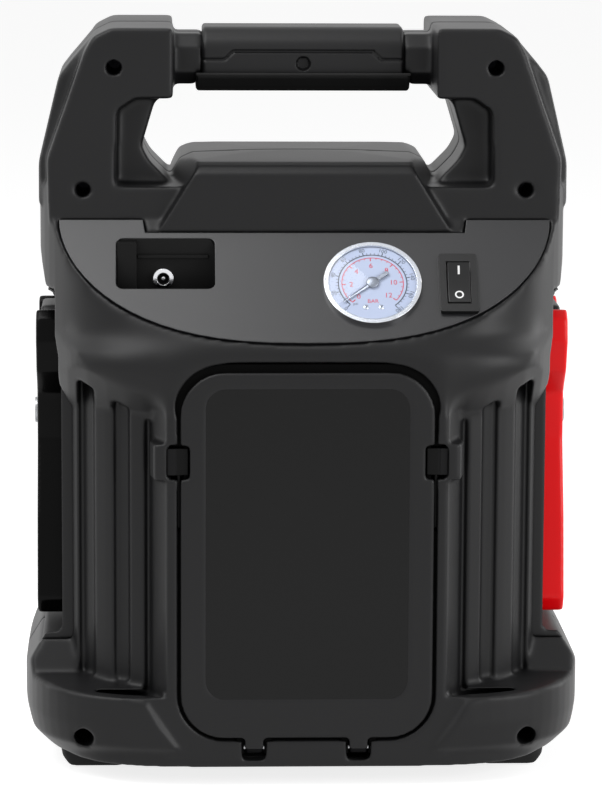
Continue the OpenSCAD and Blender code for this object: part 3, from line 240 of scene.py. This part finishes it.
def new_piece(name, verts, faces, slot, body, material=None, replaced=(), smooth=True):
    """Links a mesh piece that rides on a body and takes its finish from a slot."""
    mesh = bpy.data.meshes.new(name)
    mesh.from_pydata(np.asarray(verts).tolist(), [], [list(map(int, f)) for f in faces])
    mesh.update()
    piece = bpy.data.objects.new(name, mesh)
    scene.collection.objects.link(piece)
    mesh.materials.append(material or MATERIALS[slot])
    mesh.polygons.foreach_set("use_smooth", [smooth] * len(mesh.polygons))
    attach(piece, body)
    if replaced:
        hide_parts(*replaced)
    return piece


def room_for(edge, radius):
    """Largest radius that an edge can take: at each of its face corners of angle a, 0.45 of the shorter side
    times tan(a / 2), so that two roundings in one face never meet."""
    for loop in edge.link_loops:
        for corner in (loop, loop.link_loop_next):
            if corner.is_convex:
                shorter = min(corner.edge.calc_length(), corner.link_loop_prev.edge.calc_length())
                radius = min(radius, 0.45 * shorter * math.tan(corner.calc_angle() / 2))
    return radius


def merged(node, sharp=28):
    """Copy of a CAD node with its loose triangles merged, smooth over its curves and sharp at its edges."""
    shape = bmesh.new()
    shape.from_mesh(nodes[node].data)
    bmesh.ops.remove_doubles(shape, verts=shape.verts, dist=2e-6)
    shape.verts.ensure_lookup_table()
    verts, faces = [v.co[:] for v in shape.verts], [[v.index for v in f.verts] for f in shape.faces]
    shape.free()
    piece = new_piece(node + "_visual", verts, faces, slot_of[node], body_of[node], OWN_FINISH.get(node), [node])
    piece.data.set_sharp_from_angle(angle=math.radians(sharp))
    return piece


def near(value, middle, half, fade):
    """1 within half of the middle, falling to 0 over the fade."""
    return np.clip((half + fade - np.abs(value - middle)) / fade, 0, 1)


def ramp(value, start, length):
    """0 up to the start, rising to 1 over a length."""
    return np.clip((value - start) / length, 0, 1)


def relaxed(node, voxel, passes, share=1.0, give=None):
    """Merged copy of a CAD node, laid on a grid of voxels and relaxed, so that flat faces stay flat and every
    edge is rounded softly, as a mould rounds it. In each pass a point p goes to p + w (m - p) / 2, where m is
    the mean of its neighbours and w is 1, or what give(points) says. share is the share of faces kept."""
    piece = merged(node)
    grid = piece.modifiers.new("grid", "REMESH")
    grid.mode, grid.voxel_size, grid.use_smooth_shade = "VOXEL", voxel, True
    bpy.context.view_layer.update()
    mesh = bpy.data.meshes.new_from_object(piece.evaluated_get(bpy.context.evaluated_depsgraph_get()))
    piece.modifiers.clear()
    count = len(mesh.vertices)
    points, edges = np.empty(3 * count), np.empty(2 * len(mesh.edges), int)
    mesh.vertices.foreach_get("co", points)
    mesh.edges.foreach_get("vertices", edges)
    points, (start, end) = points.reshape(-1, 3), edges.reshape(-1, 2).T
    weight = 0.5 * (np.ones(count) if give is None else give(points))
    neighbours = np.bincount(edges, minlength=count)
    for _ in range(passes):
        total = [np.bincount(start, points[end, k], count) + np.bincount(end, points[start, k], count)
                 for k in range(3)]
        points += weight[:, None] * (np.transpose(total) / neighbours[:, None] - points)
    mesh.vertices.foreach_set("co", points.ravel())
    mesh.update()
    piece.data = mesh
    if share < 1:
        piece.modifiers.new("thin_out", "DECIMATE").ratio = share


# Screw wells of both housing halves, X and Z
WELLS = [(sx * x, z) for x, z in ((0.0861, 0.3196), (0.1003, 0.2585), (0.1, 0.0207)) for sx in (-1, 1)]
# Upper edge of the rib panels, X and Z
BROW = [(0.0625, 0.1634), (0.073, 0.167), (0.0804, 0.1706), (0.089, 0.1765), (0.0978, 0.1843), (0.107, 0.196),
        (0.113, 0.208)]
# The control panels' half width, their reach up and down the slope, and the two powers of their lower arch
PANEL_HALF, PANEL_UP, PANEL_DOWN, PANEL_SIDE, PANEL_FOOT = 0.111, 0.0359, 0.0311, 2.6, 1.8
# Weights of the relaxation: everywhere, on the posts, on the lobes of the plinth, in the wells, at the latches
BASE_GIVE, POST_GIVE, LOBE_GIVE, WELL_GIVE, LATCH_GIVE = 0.035, 0.11, 0.07, 0.025, 0.003


def housing_give(points):
    """How far each part of the housing's edges is rounded: most on the shoulders, between the rib panels' upper
    edge and the control panel, much on the posts, and least round screw wells and latches."""
    x, y, z = np.abs(points[:, 0]), np.abs(points[:, 1]), points[:, 2]
    arch = np.clip(1 - np.clip(x / PANEL_HALF, 0, 1) ** PANEL_SIDE, 0, 1) ** (1 / PANEL_FOOT)
    panel_edge = REAR_SLOPE[1] + (PANEL_UP - (PANEL_UP + PANEL_DOWN) * arch) * math.sin(SLOPE)
    brow = np.interp(x, *np.transpose(BROW))
    shoulder = ramp(z - brow, 0.005, 0.008) * ramp(panel_edge - z, 0.0005, 0.006) * ramp(y, 0.055, 0.01)
    give = BASE_GIVE + POST_GIVE * near(z, 0.3, 0.036, 0.01) * ramp(x, 0.0585, 0.003)
    give = np.maximum(give, LOBE_GIVE * near(z, 0.03, 0.026, 0.01) * near(x, 0.12, 0.03, 0.02))
    give = np.maximum(give, shoulder)
    for wx, wz in WELLS:
        give = np.minimum(give, WELL_GIVE + ramp(np.hypot(points[:, 0] - wx, z - wz), 0.005, 0.006))
    latch = near(z, 0.1485, 0.012, 0.004) * near(x, 0.062, 0.008, 0.004) * (points[:, 1] < 0)
    return np.minimum(give, LATCH_GIVE + 2 * (1 - latch))


def softened(node, radius, sharp=24):
    """Merged copy of a CAD node with its flat faces joined and each edge sharper than `sharp` degrees rounded,
    as a mould rounds it, by up to a radius and by no more than its faces have room for."""
    piece = merged(node, sharp)
    shape = bmesh.new()
    shape.from_mesh(piece.data)
    bmesh.ops.dissolve_limit(shape, angle_limit=math.radians(0.4), verts=shape.verts, edges=shape.edges)
    weight = shape.edges.layers.float.new("bevel_weight_edge")
    for edge in shape.edges:
        if len(edge.link_faces) == 2 and edge.calc_face_angle(0) > math.radians(sharp):
            share = room_for(edge, radius) / radius
            edge[weight] = share if share > 0.08 else 0
            edge.smooth = share > 0.3
    shape.to_mesh(piece.data)
    shape.free()
    rounding = piece.modifiers.new("rounding", "BEVEL")
    rounding.width, rounding.segments = radius, 3
    rounding.limit_method = "WEIGHT"
    rounding.use_clamp_overlap = False
    piece.modifiers.new("even_normals", "WEIGHTED_NORMAL").keep_sharp = True


# Local frame on the rear control slope: X across, Y up the slope, Z out of it
REAR = np.array([[1, 0, 0, 0],
                 [0, math.cos(SLOPE), -math.sin(SLOPE), REAR_SLOPE[0]],
                 [0, math.sin(SLOPE), math.cos(SLOPE), REAR_SLOPE[1]],
                 [0, 0, 0, 1]])


def moved(x=0.0, y=0.0, z=0.0):
    """4 x 4 matrix that shifts by millimetres."""
    matrix = np.eye(4)
    matrix[:3, 3] = x * MM, y * MM, z * MM
    return matrix


def turned(axis, degrees):
    """4 x 4 matrix that turns about an axis."""
    return np.array(Matrix.Rotation(math.radians(degrees), 4, axis))


def carried(matrix, points):
    """Points in millimetres carried by a matrix into the pack's frame in metres."""
    return np.asarray(points, float) * MM @ matrix[:3, :3].T + matrix[:3, 3]


def joined(parts):
    """One vertex and face list out of several."""
    verts, faces = [], []
    for v, f in parts:
        faces += [[i + len(verts) for i in face] for face in f]
        verts += [list(p) for p in np.asarray(v)]
    return np.array(verts), faces


def grid_faces(rows, columns, wrap=False):
    """Quads between neighbouring rows and columns of a point grid. wrap closes the columns into a ring."""
    last = columns if wrap else columns - 1
    return [[i * columns + j, i * columns + (j + 1) % columns, (i + 1) * columns + (j + 1) % columns,
             (i + 1) * columns + j] for i in range(rows - 1) for j in range(last)]


def turned_profile(profile, steps=64):
    """Solid of revolution about Z: each point (r, z) of the profile, which runs from the top's middle outwards
    and down, becomes a ring of r cos t, r sin t."""
    profile, angle = np.asarray(profile, float), np.arange(steps) * 2 * math.pi / steps
    verts = [[r * math.cos(t), r * math.sin(t), z] for r, z in profile for t in angle]
    return np.array(verts), [f[::-1] for f in grid_faces(len(profile), steps, wrap=True)]


def prism(outline, low, high, top=1.0):
    """Closed prism over a flat outline, from z = low to high, its top drawn in towards the middle by a factor."""
    outline = np.asarray(outline, float)
    middle, count = outline.mean(axis=0), len(outline)
    upper = middle + (outline - middle) * top
    verts = np.vstack([np.c_[outline, np.full(count, low)], np.c_[upper, np.full(count, high)]])
    sides = [[i, (i + 1) % count, count + (i + 1) % count, count + i] for i in range(count)]
    return verts, sides + [list(range(count))[::-1], list(range(count, 2 * count))]


# ---- Printed marks --------------------------------------------------------

def lettering(text, height, x=0.0, y=0.0, angle=0.0):
    """Flat letters of a height in millimetres, centred on (x, y) and turned by an angle in degrees."""
    curve = bpy.data.curves.new("lettering", "FONT")
    curve.body, curve.resolution_u = text, 4
    holder = bpy.data.objects.new("lettering", curve)
    mesh = bpy.data.meshes.new_from_object(holder)
    points = np.array([v.co[:2] for v in mesh.vertices])
    faces = [list(p.vertices) for p in mesh.polygons]
    bpy.data.objects.remove(holder)
    bpy.data.curves.remove(curve)
    bpy.data.meshes.remove(mesh)
    low, high = points.min(axis=0), points.max(axis=0)
    points = (points - (low + high) / 2) * height / (high[1] - low[1])
    c, s = math.cos(math.radians(angle)), math.sin(math.radians(angle))
    return np.c_[points @ np.array([[c, s], [-s, c]]) + [x, y], np.zeros(len(points))], faces


def arc(inner, outer, start, end, steps=90):
    """Flat ring sector between two radii and two angles in degrees."""
    angle = np.radians(np.linspace(start, end, steps))
    ring = [[r * math.cos(t), r * math.sin(t), 0] for r in (outer, inner) for t in angle]
    return np.array(ring), grid_faces(2, steps)


def spoke(inner, outer, angle, width):
    """Flat tick mark along a radius."""
    along = np.array([math.cos(math.radians(angle)), math.sin(math.radians(angle))])
    across = np.array([-along[1], along[0]]) * width / 2
    corners = [along * inner - across, along * outer - across, along * outer + across,
               along * inner + across]
    return np.array([[*c, 0] for c in corners]), [[0, 1, 2, 3]]


def block_mark(x0, x1, y0, y1):
    """Flat rectangle."""
    return np.array([[x0, y0, 0], [x1, y0, 0], [x1, y1, 0], [x0, y1, 0]]), [[0, 1, 2, 3]]


def printed(name, marks, matrix, slot, body, material):
    """Flat marks joined as one mesh in a local frame: print, and the painted shade of the gauge screws' slots."""
    verts, faces = joined(marks)
    return new_piece(name, carried(matrix, verts), faces, slot, body, material, smooth=False)


# ---- Pressure gauge -------------------------------------------------------

GAUGE = REAR @ moved(x=GAUGE_X)
DIAL_TOP = 1.43          # height of the dial's print above the slope
SCALE_START = 228        # direction of zero, in degrees from the right
PSI_STEP = -31 / 20      # degrees per psi
BAR_STEP = -22.5         # degrees per bar
NEEDLE_REST = 218        # direction of the needle at rest, against its stop


def dial_print():
    """Outer psi scale in black, whose numbers turn with the circle, and inner bar scale in red."""
    black = [arc(15.1, 15.6, SCALE_START, SCALE_START + 180 * PSI_STEP)]
    for psi in range(0, 181, 4):
        reach, width = (1.5, 0.42) if psi % 20 == 0 else (0.8, 0.26)
        black.append(spoke(15.6, 15.6 + reach, SCALE_START + psi * PSI_STEP, width))
    for psi in range(0, 181, 20):
        angle = SCALE_START + psi * PSI_STEP
        black.append(lettering(str(psi), 1.9, 18.2 * math.cos(math.radians(angle)),
                               18.2 * math.sin(math.radians(angle)), angle - 90))
    red = [arc(13.6, 13.95, SCALE_START, SCALE_START + 12 * BAR_STEP)]
    for tenth in range(0, 121, 5):
        inner, width = (12.0, 0.45) if tenth % 20 == 0 else (12.9, 0.3)
        red.append(spoke(inner, 13.6, SCALE_START + tenth / 10 * BAR_STEP, width))
    for bar in range(0, 13, 2):
        angle = math.radians(SCALE_START + bar * BAR_STEP)
        red.append(lettering(str(bar), 2.5, 9.6 * math.cos(angle), 9.6 * math.sin(angle)))
    red.append(lettering("BAR", 1.9, 0, -9.6))
    top = GAUGE @ moved(z=DIAL_TOP)
    printed("dial_psi_scale", black, top, "dial", "housing", DARK_INK_AND_SHADE)
    printed("dial_bar_scale", red, top, "dial", "housing", RED_INK)
    printed("dial_unit", [lettering("psi", 1.7, -7.9, -11.3)], top, "dial", "housing", DARK_INK_AND_SHADE)


def gauge_needle():
    """Pointer with a ridge along its middle, its counterweight tail and a domed hub."""
    pointer = [[0, -1.0, 2.2], [0, 1.0, 2.2], [17.3, 0.25, 2.2], [17.3, -0.25, 2.2], [0, 0, 2.75],
               [17.3, 0, 2.45]]
    arm = (np.array(pointer), [[0, 3, 2, 1], [0, 4, 5, 3], [1, 2, 5, 4], [2, 3, 5], [0, 1, 4]])
    tail = prism([[-9, -0.95], [0, -0.95], [0, 0.95], [-9, 0.95]], 2.15, 2.65, top=0.96)
    dome = [(2.9 * math.cos(t), 2.4 + 0.75 * math.sin(t)) for t in np.linspace(math.pi / 2 - 0.02, 0, 8)]
    dome += [(2.9, 2.0), (1.4, 0.9)]
    verts, faces = joined([arm, tail, turned_profile(dome, 32)])
    piece = new_piece("needle", carried(GAUGE @ turned("Z", NEEDLE_REST), verts), faces, slot_of["gauge_needle"],
                      "needle", metal("satin_steel_needle", "#8f9196", 0.35), ["gauge_needle"])
    piece.data.set_sharp_from_angle(angle=math.radians(40))


def gauge_lens():
    """Domed lens: its height falls from 6.1 mm at the middle with the square of the radius, over a skirt."""
    radius = np.linspace(0.02, 1, 24)
    outer = [(21.1 * r, 3.5 + 2.6 * (1 - (21.1 * r / 21.9) ** 2)) for r in radius]
    inner = [(19.8 * r, 2.5 + 2.6 * (1 - (19.8 * r / 21.9) ** 2)) for r in radius[::-1]]
    profile = outer + [(21.4, 3.45), (21.5, 3.2), (21.5, 0.2), (19.9, 0.2)] + inner
    verts, faces = turned_profile([(0.01, 6.1)] + profile + [(0.01, 5.1)], 96)
    new_piece("lens", carried(GAUGE, verts), faces, slot_of["gauge_lens"], "housing", None, ["gauge_lens"])


def gauge_screws():
    """Two small domed screws, each with a cross of flat dark marks on its head: painted shade of a cross slot."""
    head = [(1.35 * math.cos(t), 1.45 + 0.6 * math.sin(t)) for t in np.linspace(math.pi / 2 - 0.02, 0, 8)]
    parts, slots = [], []
    for side in (-1, 1):
        verts, faces = turned_profile(head + [(1.35, 1.35)], 32)
        parts.append((verts + [side * 3.4, -13.0, 0], faces))
        for angle in (35, 125):
            verts, faces = spoke(-0.75, 0.75, angle, 0.22)
            slots.append((verts + [side * 3.4, -13.0, 2.06], faces))
    verts, faces = joined(parts)
    new_piece("dial_screws", carried(GAUGE, verts), faces, slot_of["gauge_screws"], "housing",
              MATERIALS["chrome_trim"], ["gauge_screws"])
    # The crosses are flat dark marks: painted shade where the slots would be
    printed("screw_slot_painted_shade", slots, GAUGE, slot_of["gauge_screws"], "housing", DARK_INK_AND_SHADE)
    verts, faces = joined([turned_profile([(0.01, 2.85), (0.35, 2.8), (0.5, 2.6), (0.5, 1.3)], 16)])
    new_piece("needle_stop", carried(GAUGE @ moved(-10.6, -8.0), verts), faces, slot_of["gauge_screws"],
              "housing", MATERIALS["chrome_trim"])


# ---- Switch marks ---------------------------------------------------------

def switch_marks():
    """White I and O on the two faces of the rocker, which lean 10.5 degrees either way from its middle."""
    lean, slot = math.degrees(math.atan2(1.8, 9.7)), slot_of["compressor_switch_rocker"]
    ridge = REAR @ moved(x=SWITCH_X, z=-2.5) @ turned("X", 12) @ moved(z=5.43)
    upper, lower = ridge @ turned("X", lean), ridge @ turned("X", -lean)
    printed("mark_on", [block_mark(-0.45, 0.45, 4.3, 8.2)], upper, slot, "rocker", WHITE_INK)
    ring, faces = arc(1.3, 2.0, 0, 360, 40)
    printed("mark_off", [(ring + [0, -5.8, 0], faces)], lower, slot, "rocker", WHITE_INK)


# ---- Grip -----------------------------------------------------------------

# Heights and half depth of the two shells round the grip, in mm
GRIP_TOP, COVER_LOW, PAD_HIGH, PAD_LOW, GRIP_HALF_D = 335.8, 315.0, 314.4, 306.6, 22.0
COVER = [(-22, COVER_LOW), (-22, GRIP_TOP - 7), (-15, GRIP_TOP), (15, GRIP_TOP), (22, GRIP_TOP - 7),
         (22, COVER_LOW)]
PAD = [(22, PAD_HIGH), (22, 313.6), (15, PAD_LOW), (-15, PAD_LOW), (-22, 313.6), (-22, PAD_HIGH)]
GROOVE = [(46, 321.3), (36, 321.3), (32, 325), (-32, 325), (-36, 321.3), (-46, 321.3)]
SHELL = 4.0              # thickness of both shells


def rounded_path(corners, radius, step=0.7):
    """Open polyline with each inner corner replaced by a quadratic curve that starts and ends `radius` away,
    sampled about every step."""
    corners = [np.array(c, float) for c in corners]
    points = [corners[0]]
    for before, corner, after in zip(corners, corners[1:], corners[2:]):
        start = corner + (before - corner) / np.linalg.norm(before - corner) * radius
        end = corner + (after - corner) / np.linalg.norm(after - corner) * radius
        points += [start * (1 - t) ** 2 + corner * 2 * t * (1 - t) + end * t * t for t in np.linspace(0, 1, 7)]
    points.append(corners[-1])
    path = [points[0]]
    for a, b in zip(points, points[1:]):
        count = max(1, int(round(np.linalg.norm(b - a) / step)))
        path += [a + (b - a) * (k + 1) / count for k in range(count)]
    return np.array(path)


def distance_to(points, line):
    """Least distance in the plane from each point to a polyline."""
    least = np.full(len(points), 1e9)
    for a, b in zip(np.array(line[:-1], float), np.array(line[1:], float)):
        t = np.clip(((points - a) @ (b - a)) / ((b - a) @ (b - a)), 0, 1)
        least = np.minimum(least, np.linalg.norm(points - a - t[:, None] * (b - a), axis=1))
    return least


def grip_shell(name, node, half, corners, radius, groove=None, well=None):
    """Shell round the grip: a rounded profile in Y and Z swept along X, with a groove 1.1 mm deep along a line
    in X and Z on both upright faces, and a screw well, given as X, Z and radius, on the rear one."""
    path = rounded_path(corners, radius)
    x = np.linspace(-half, half, 161)
    x = np.concatenate([[-half + 0.01], x[1:-1], [half - 0.01]])
    tangent = np.gradient(path, axis=0)
    normal = np.c_[tangent[:, 1], -tangent[:, 0]]
    normal /= np.linalg.norm(normal, axis=1)[:, None]
    grid_x, along = np.meshgrid(x, np.arange(len(path)), indexing="ij")
    place, away = path[along.ravel()], normal[along.ravel()]
    upright = np.abs(away[:, 0]) > 0.98
    flat = np.c_[grid_x.ravel(), place[:, 1]]
    sunk = np.zeros(len(flat))
    if groove:
        sunk = np.where(upright, 1.1 * np.clip((0.85 - distance_to(flat, groove)) / 0.35, 0, 1), 0)
    end = np.clip((half - np.abs(flat[:, 0])) / 1.6, 0, 1)
    sunk = sunk + 1.4 * (1 - np.sqrt(np.clip(1 - (1 - end) ** 2, 0, 1)))
    if well:
        spot = flat - np.array(well[:2])
        reach = np.linalg.norm(spot, axis=1)
        rear = place[:, 0] < -GRIP_HALF_D + 0.5
        rim = rear & (np.abs(reach - well[2]) < 0.45)
        scale = np.where(rim, well[2] / np.maximum(reach, 0.1), 1.0)
        flat = np.where(rim[:, None], np.array(well[:2]) + spot * scale[:, None], flat)
        sunk = np.where(rear & ~rim & (reach < well[2]), 3.4, sunk)
    outer = np.c_[flat[:, 0], place[:, 0] + away[:, 0] * sunk,
                  np.where(upright, flat[:, 1], place[:, 1] + away[:, 1] * sunk)]
    inner = np.c_[grid_x.ravel(), place + away * SHELL]
    count, rows = len(path), len(x)
    faces = grid_faces(rows, count)
    shift = rows * count
    faces += [[i + shift for i in f][::-1] for f in faces]
    for i in range(rows - 1):
        faces.append([i * count, (i + 1) * count, shift + (i + 1) * count, shift + i * count])
        a, b = (i + 1) * count - 1, (i + 2) * count - 1
        faces.append([a, shift + a, shift + b, b])
    base = (rows - 1) * count
    for j in range(count - 1):
        faces.append([j, shift + j, shift + j + 1, j + 1])
        faces.append([base + j, base + j + 1, shift + base + j + 1, shift + base + j])
    piece = new_piece(name, np.vstack([outer, inner]) * MM, faces, slot_of[node], "housing", None, [node])
    piece.data.set_sharp_from_angle(angle=math.radians(50))


# ---- Charging recess ------------------------------------------------------

JACK = moved(-64, -56, 225.5) @ turned("X", 90)     # Z out of the recess's back wall


def recess_details():
    """Step along the recess's outer wall, ridge across its back wall, and the insulator sunk in the jack."""
    step = prism([[-20.8, -6.5], [-12, -6.5], [-12, 17], [-20.8, 17]], 0.1, 6, top=0.99)
    ridge = prism([[-12, 9.3], [20.6, 9.3], [20.6, 10.6], [-12, 10.6]], 0.1, 2.2, top=0.98)
    sleeve = turned_profile([(0.01, -1), (2.5, -1), (2.55, 2.0), (2.76, 2.1), (2.76, -1.3), (0.01, -1.3)], 40)
    verts, faces = joined([step, ridge])
    slot = slot_of["jack_recess"]
    new_piece("recess_relief", carried(JACK, verts), faces, slot, "housing", RECESS, smooth=False)
    new_piece("jack_insulator", carried(JACK, sleeve[0]), sleeve[1], slot, "housing", RECESS)


# ---- Light and floor ------------------------------------------------------

FLOOR = 12.0             # half side of the floor in metres


def area_light(name, place, target, size, power):
    """Soft white rectangular lamp at a place, turned to a target."""
    data = bpy.data.lights.new(name, "AREA")
    data.shape, data.size, data.size_y = "RECTANGLE", size[0], size[1]
    data.energy = power
    lamp = bpy.data.objects.new(name, data)
    lamp.location = place
    lamp.rotation_mode = "QUATERNION"
    lamp.rotation_quaternion = (Vector(target) - Vector(place)).to_track_quat("-Z", "Y")
    scene.collection.objects.link(lamp)


def make_stage():
    """White floor that keeps the soft shadow, and a world that is white wherever it is seen."""
    world = bpy.data.worlds.new("world")
    world.use_nodes = True
    tree = world.node_tree
    tree.nodes.clear()
    path = add(tree, "ShaderNodeLightPath")
    seen = path.outputs["Is Camera Ray"]
    for ray in ("Is Transmission Ray", "Is Glossy Ray"):
        seen = add(tree, "ShaderNodeMath", {0: seen, 1: path.outputs[ray]}, operation="MAXIMUM").outputs[0]
    level = add(tree, "ShaderNodeMapRange", {"Value": seen, "To Min": 0.3, "To Max": 1.0}).outputs[0]
    light = add(tree, "ShaderNodeBackground", {"Color": [1, 1, 1, 1], "Strength": level})
    tree.links.new(light.outputs[0], add(tree, "ShaderNodeOutputWorld").inputs[0])
    scene.world = world

    material, tree, out = new_material("white_floor")
    path = add(tree, "ShaderNodeLightPath")
    seen = add(tree, "ShaderNodeMath", {0: path.outputs["Is Camera Ray"], 1: path.outputs["Is Glossy Ray"]},
               operation="MAXIMUM").outputs[0]
    shade = add(tree, "ShaderNodeBsdfDiffuse", {"Color": linear("#b8b8b8")})
    glow = add(tree, "ShaderNodeEmission", {"Color": [1, 1, 1, 1], "Strength": 0.8})
    lit = add(tree, "ShaderNodeAddShader", {0: shade.outputs[0], 1: glow.outputs[0]})
    mixed = add(tree, "ShaderNodeMixShader", {0: seen, 1: shade.outputs[0], 2: lit.outputs[0]})
    tree.links.new(mixed.outputs[0], out.inputs[0])
    mesh = bpy.data.meshes.new("floor")
    corners = [(-FLOOR, -FLOOR, 0), (FLOOR, -FLOOR, 0), (FLOOR, FLOOR, 0), (-FLOOR, FLOOR, 0)]
    mesh.from_pydata(corners, [], [(0, 1, 2, 3)])
    mesh.materials.append(material)
    floor = bpy.data.objects.new("floor", mesh)
    scene.collection.objects.link(floor)


# ---- The whole scene ------------------------------------------------------

make_camera()
make_stage()
area_light("overhead", (-0.6, -0.4, 1.5), (0, -0.05, 0.2), (0.9, 1.2), 16)
area_light("key", (-1.3, -1.2, 1.2), (0, 0, 0.2), (0.9, 0.9), 5)
area_light("fill", (1.7, -1.5, 0.7), (0, 0, 0.15), (1.2, 1.2), 26)
area_light("edge_left", (-1.5, 0.5, 0.6), (0, 0, 0.2), (0.4, 1.6), 6)
area_light("edge_right", (1.5, 0.5, 0.6), (0, 0, 0.2), (0.4, 1.6), 12)

for node, piece in nodes.items():
    piece.data.materials.clear()
    piece.data.materials.append(MATERIALS[slot_of[node]])

HOUSING_PASSES, HOUSING_SHARE = 110, 0.27
for node in ("rear_housing", "front_housing"):
    relaxed(node, 1.0 * MM, HOUSING_PASSES, HOUSING_SHARE, housing_give)
# Pieces with the spacing of their grid in millimetres and the passes that round their edges
RELAXED = {"feet": (0.8, 8), "hose_door": (0.9, 2), "main_switch_knob": (0.5, 6), "socket_cap": (0.6, 4),
           "black_clamp_grip": (0.8, 10), "black_clamp_lever": (0.8, 10), "red_clamp_grip": (0.8, 10),
           "red_clamp_lever": (0.8, 10), "clamp_docks": (1.2, 4), "cable_glands": (0.6, 4)}
for node, (spacing, passes) in RELAXED.items():
    relaxed(node, spacing * MM, passes)
for node in ("rear_panel", "front_panel", "label_plate", "hose_bay", "door_latch_left", "door_latch_right",
             "gauge_case", "gauge_dial", "jack_recess", "charge_jack", "main_switch_base", "socket_shell",
             "socket_barrel", "housing_screws", "compressor_switch_frame"):
    merged(node)
# Simple pieces with the radius in millimetres to which their edges are rounded
SOFT = {"compressor_switch_rocker": 0.35, "test_button": 0.5, "light_button": 0.5, "black_clamp_pin": 0.7,
        "red_clamp_pin": 0.7}
for node, radius in SOFT.items():
    softened(node, radius * MM)

dial_print()
recess_details()
gauge_needle()
gauge_lens()
gauge_screws()
switch_marks()
grip_shell("grip_top_shell", "grip_cover", 46.0, COVER, 4.0, GROOVE, (0, 319.6, 3.45))
grip_shell("grip_pad_shell", "grip_pad", 49.0, PAD, 1.5)
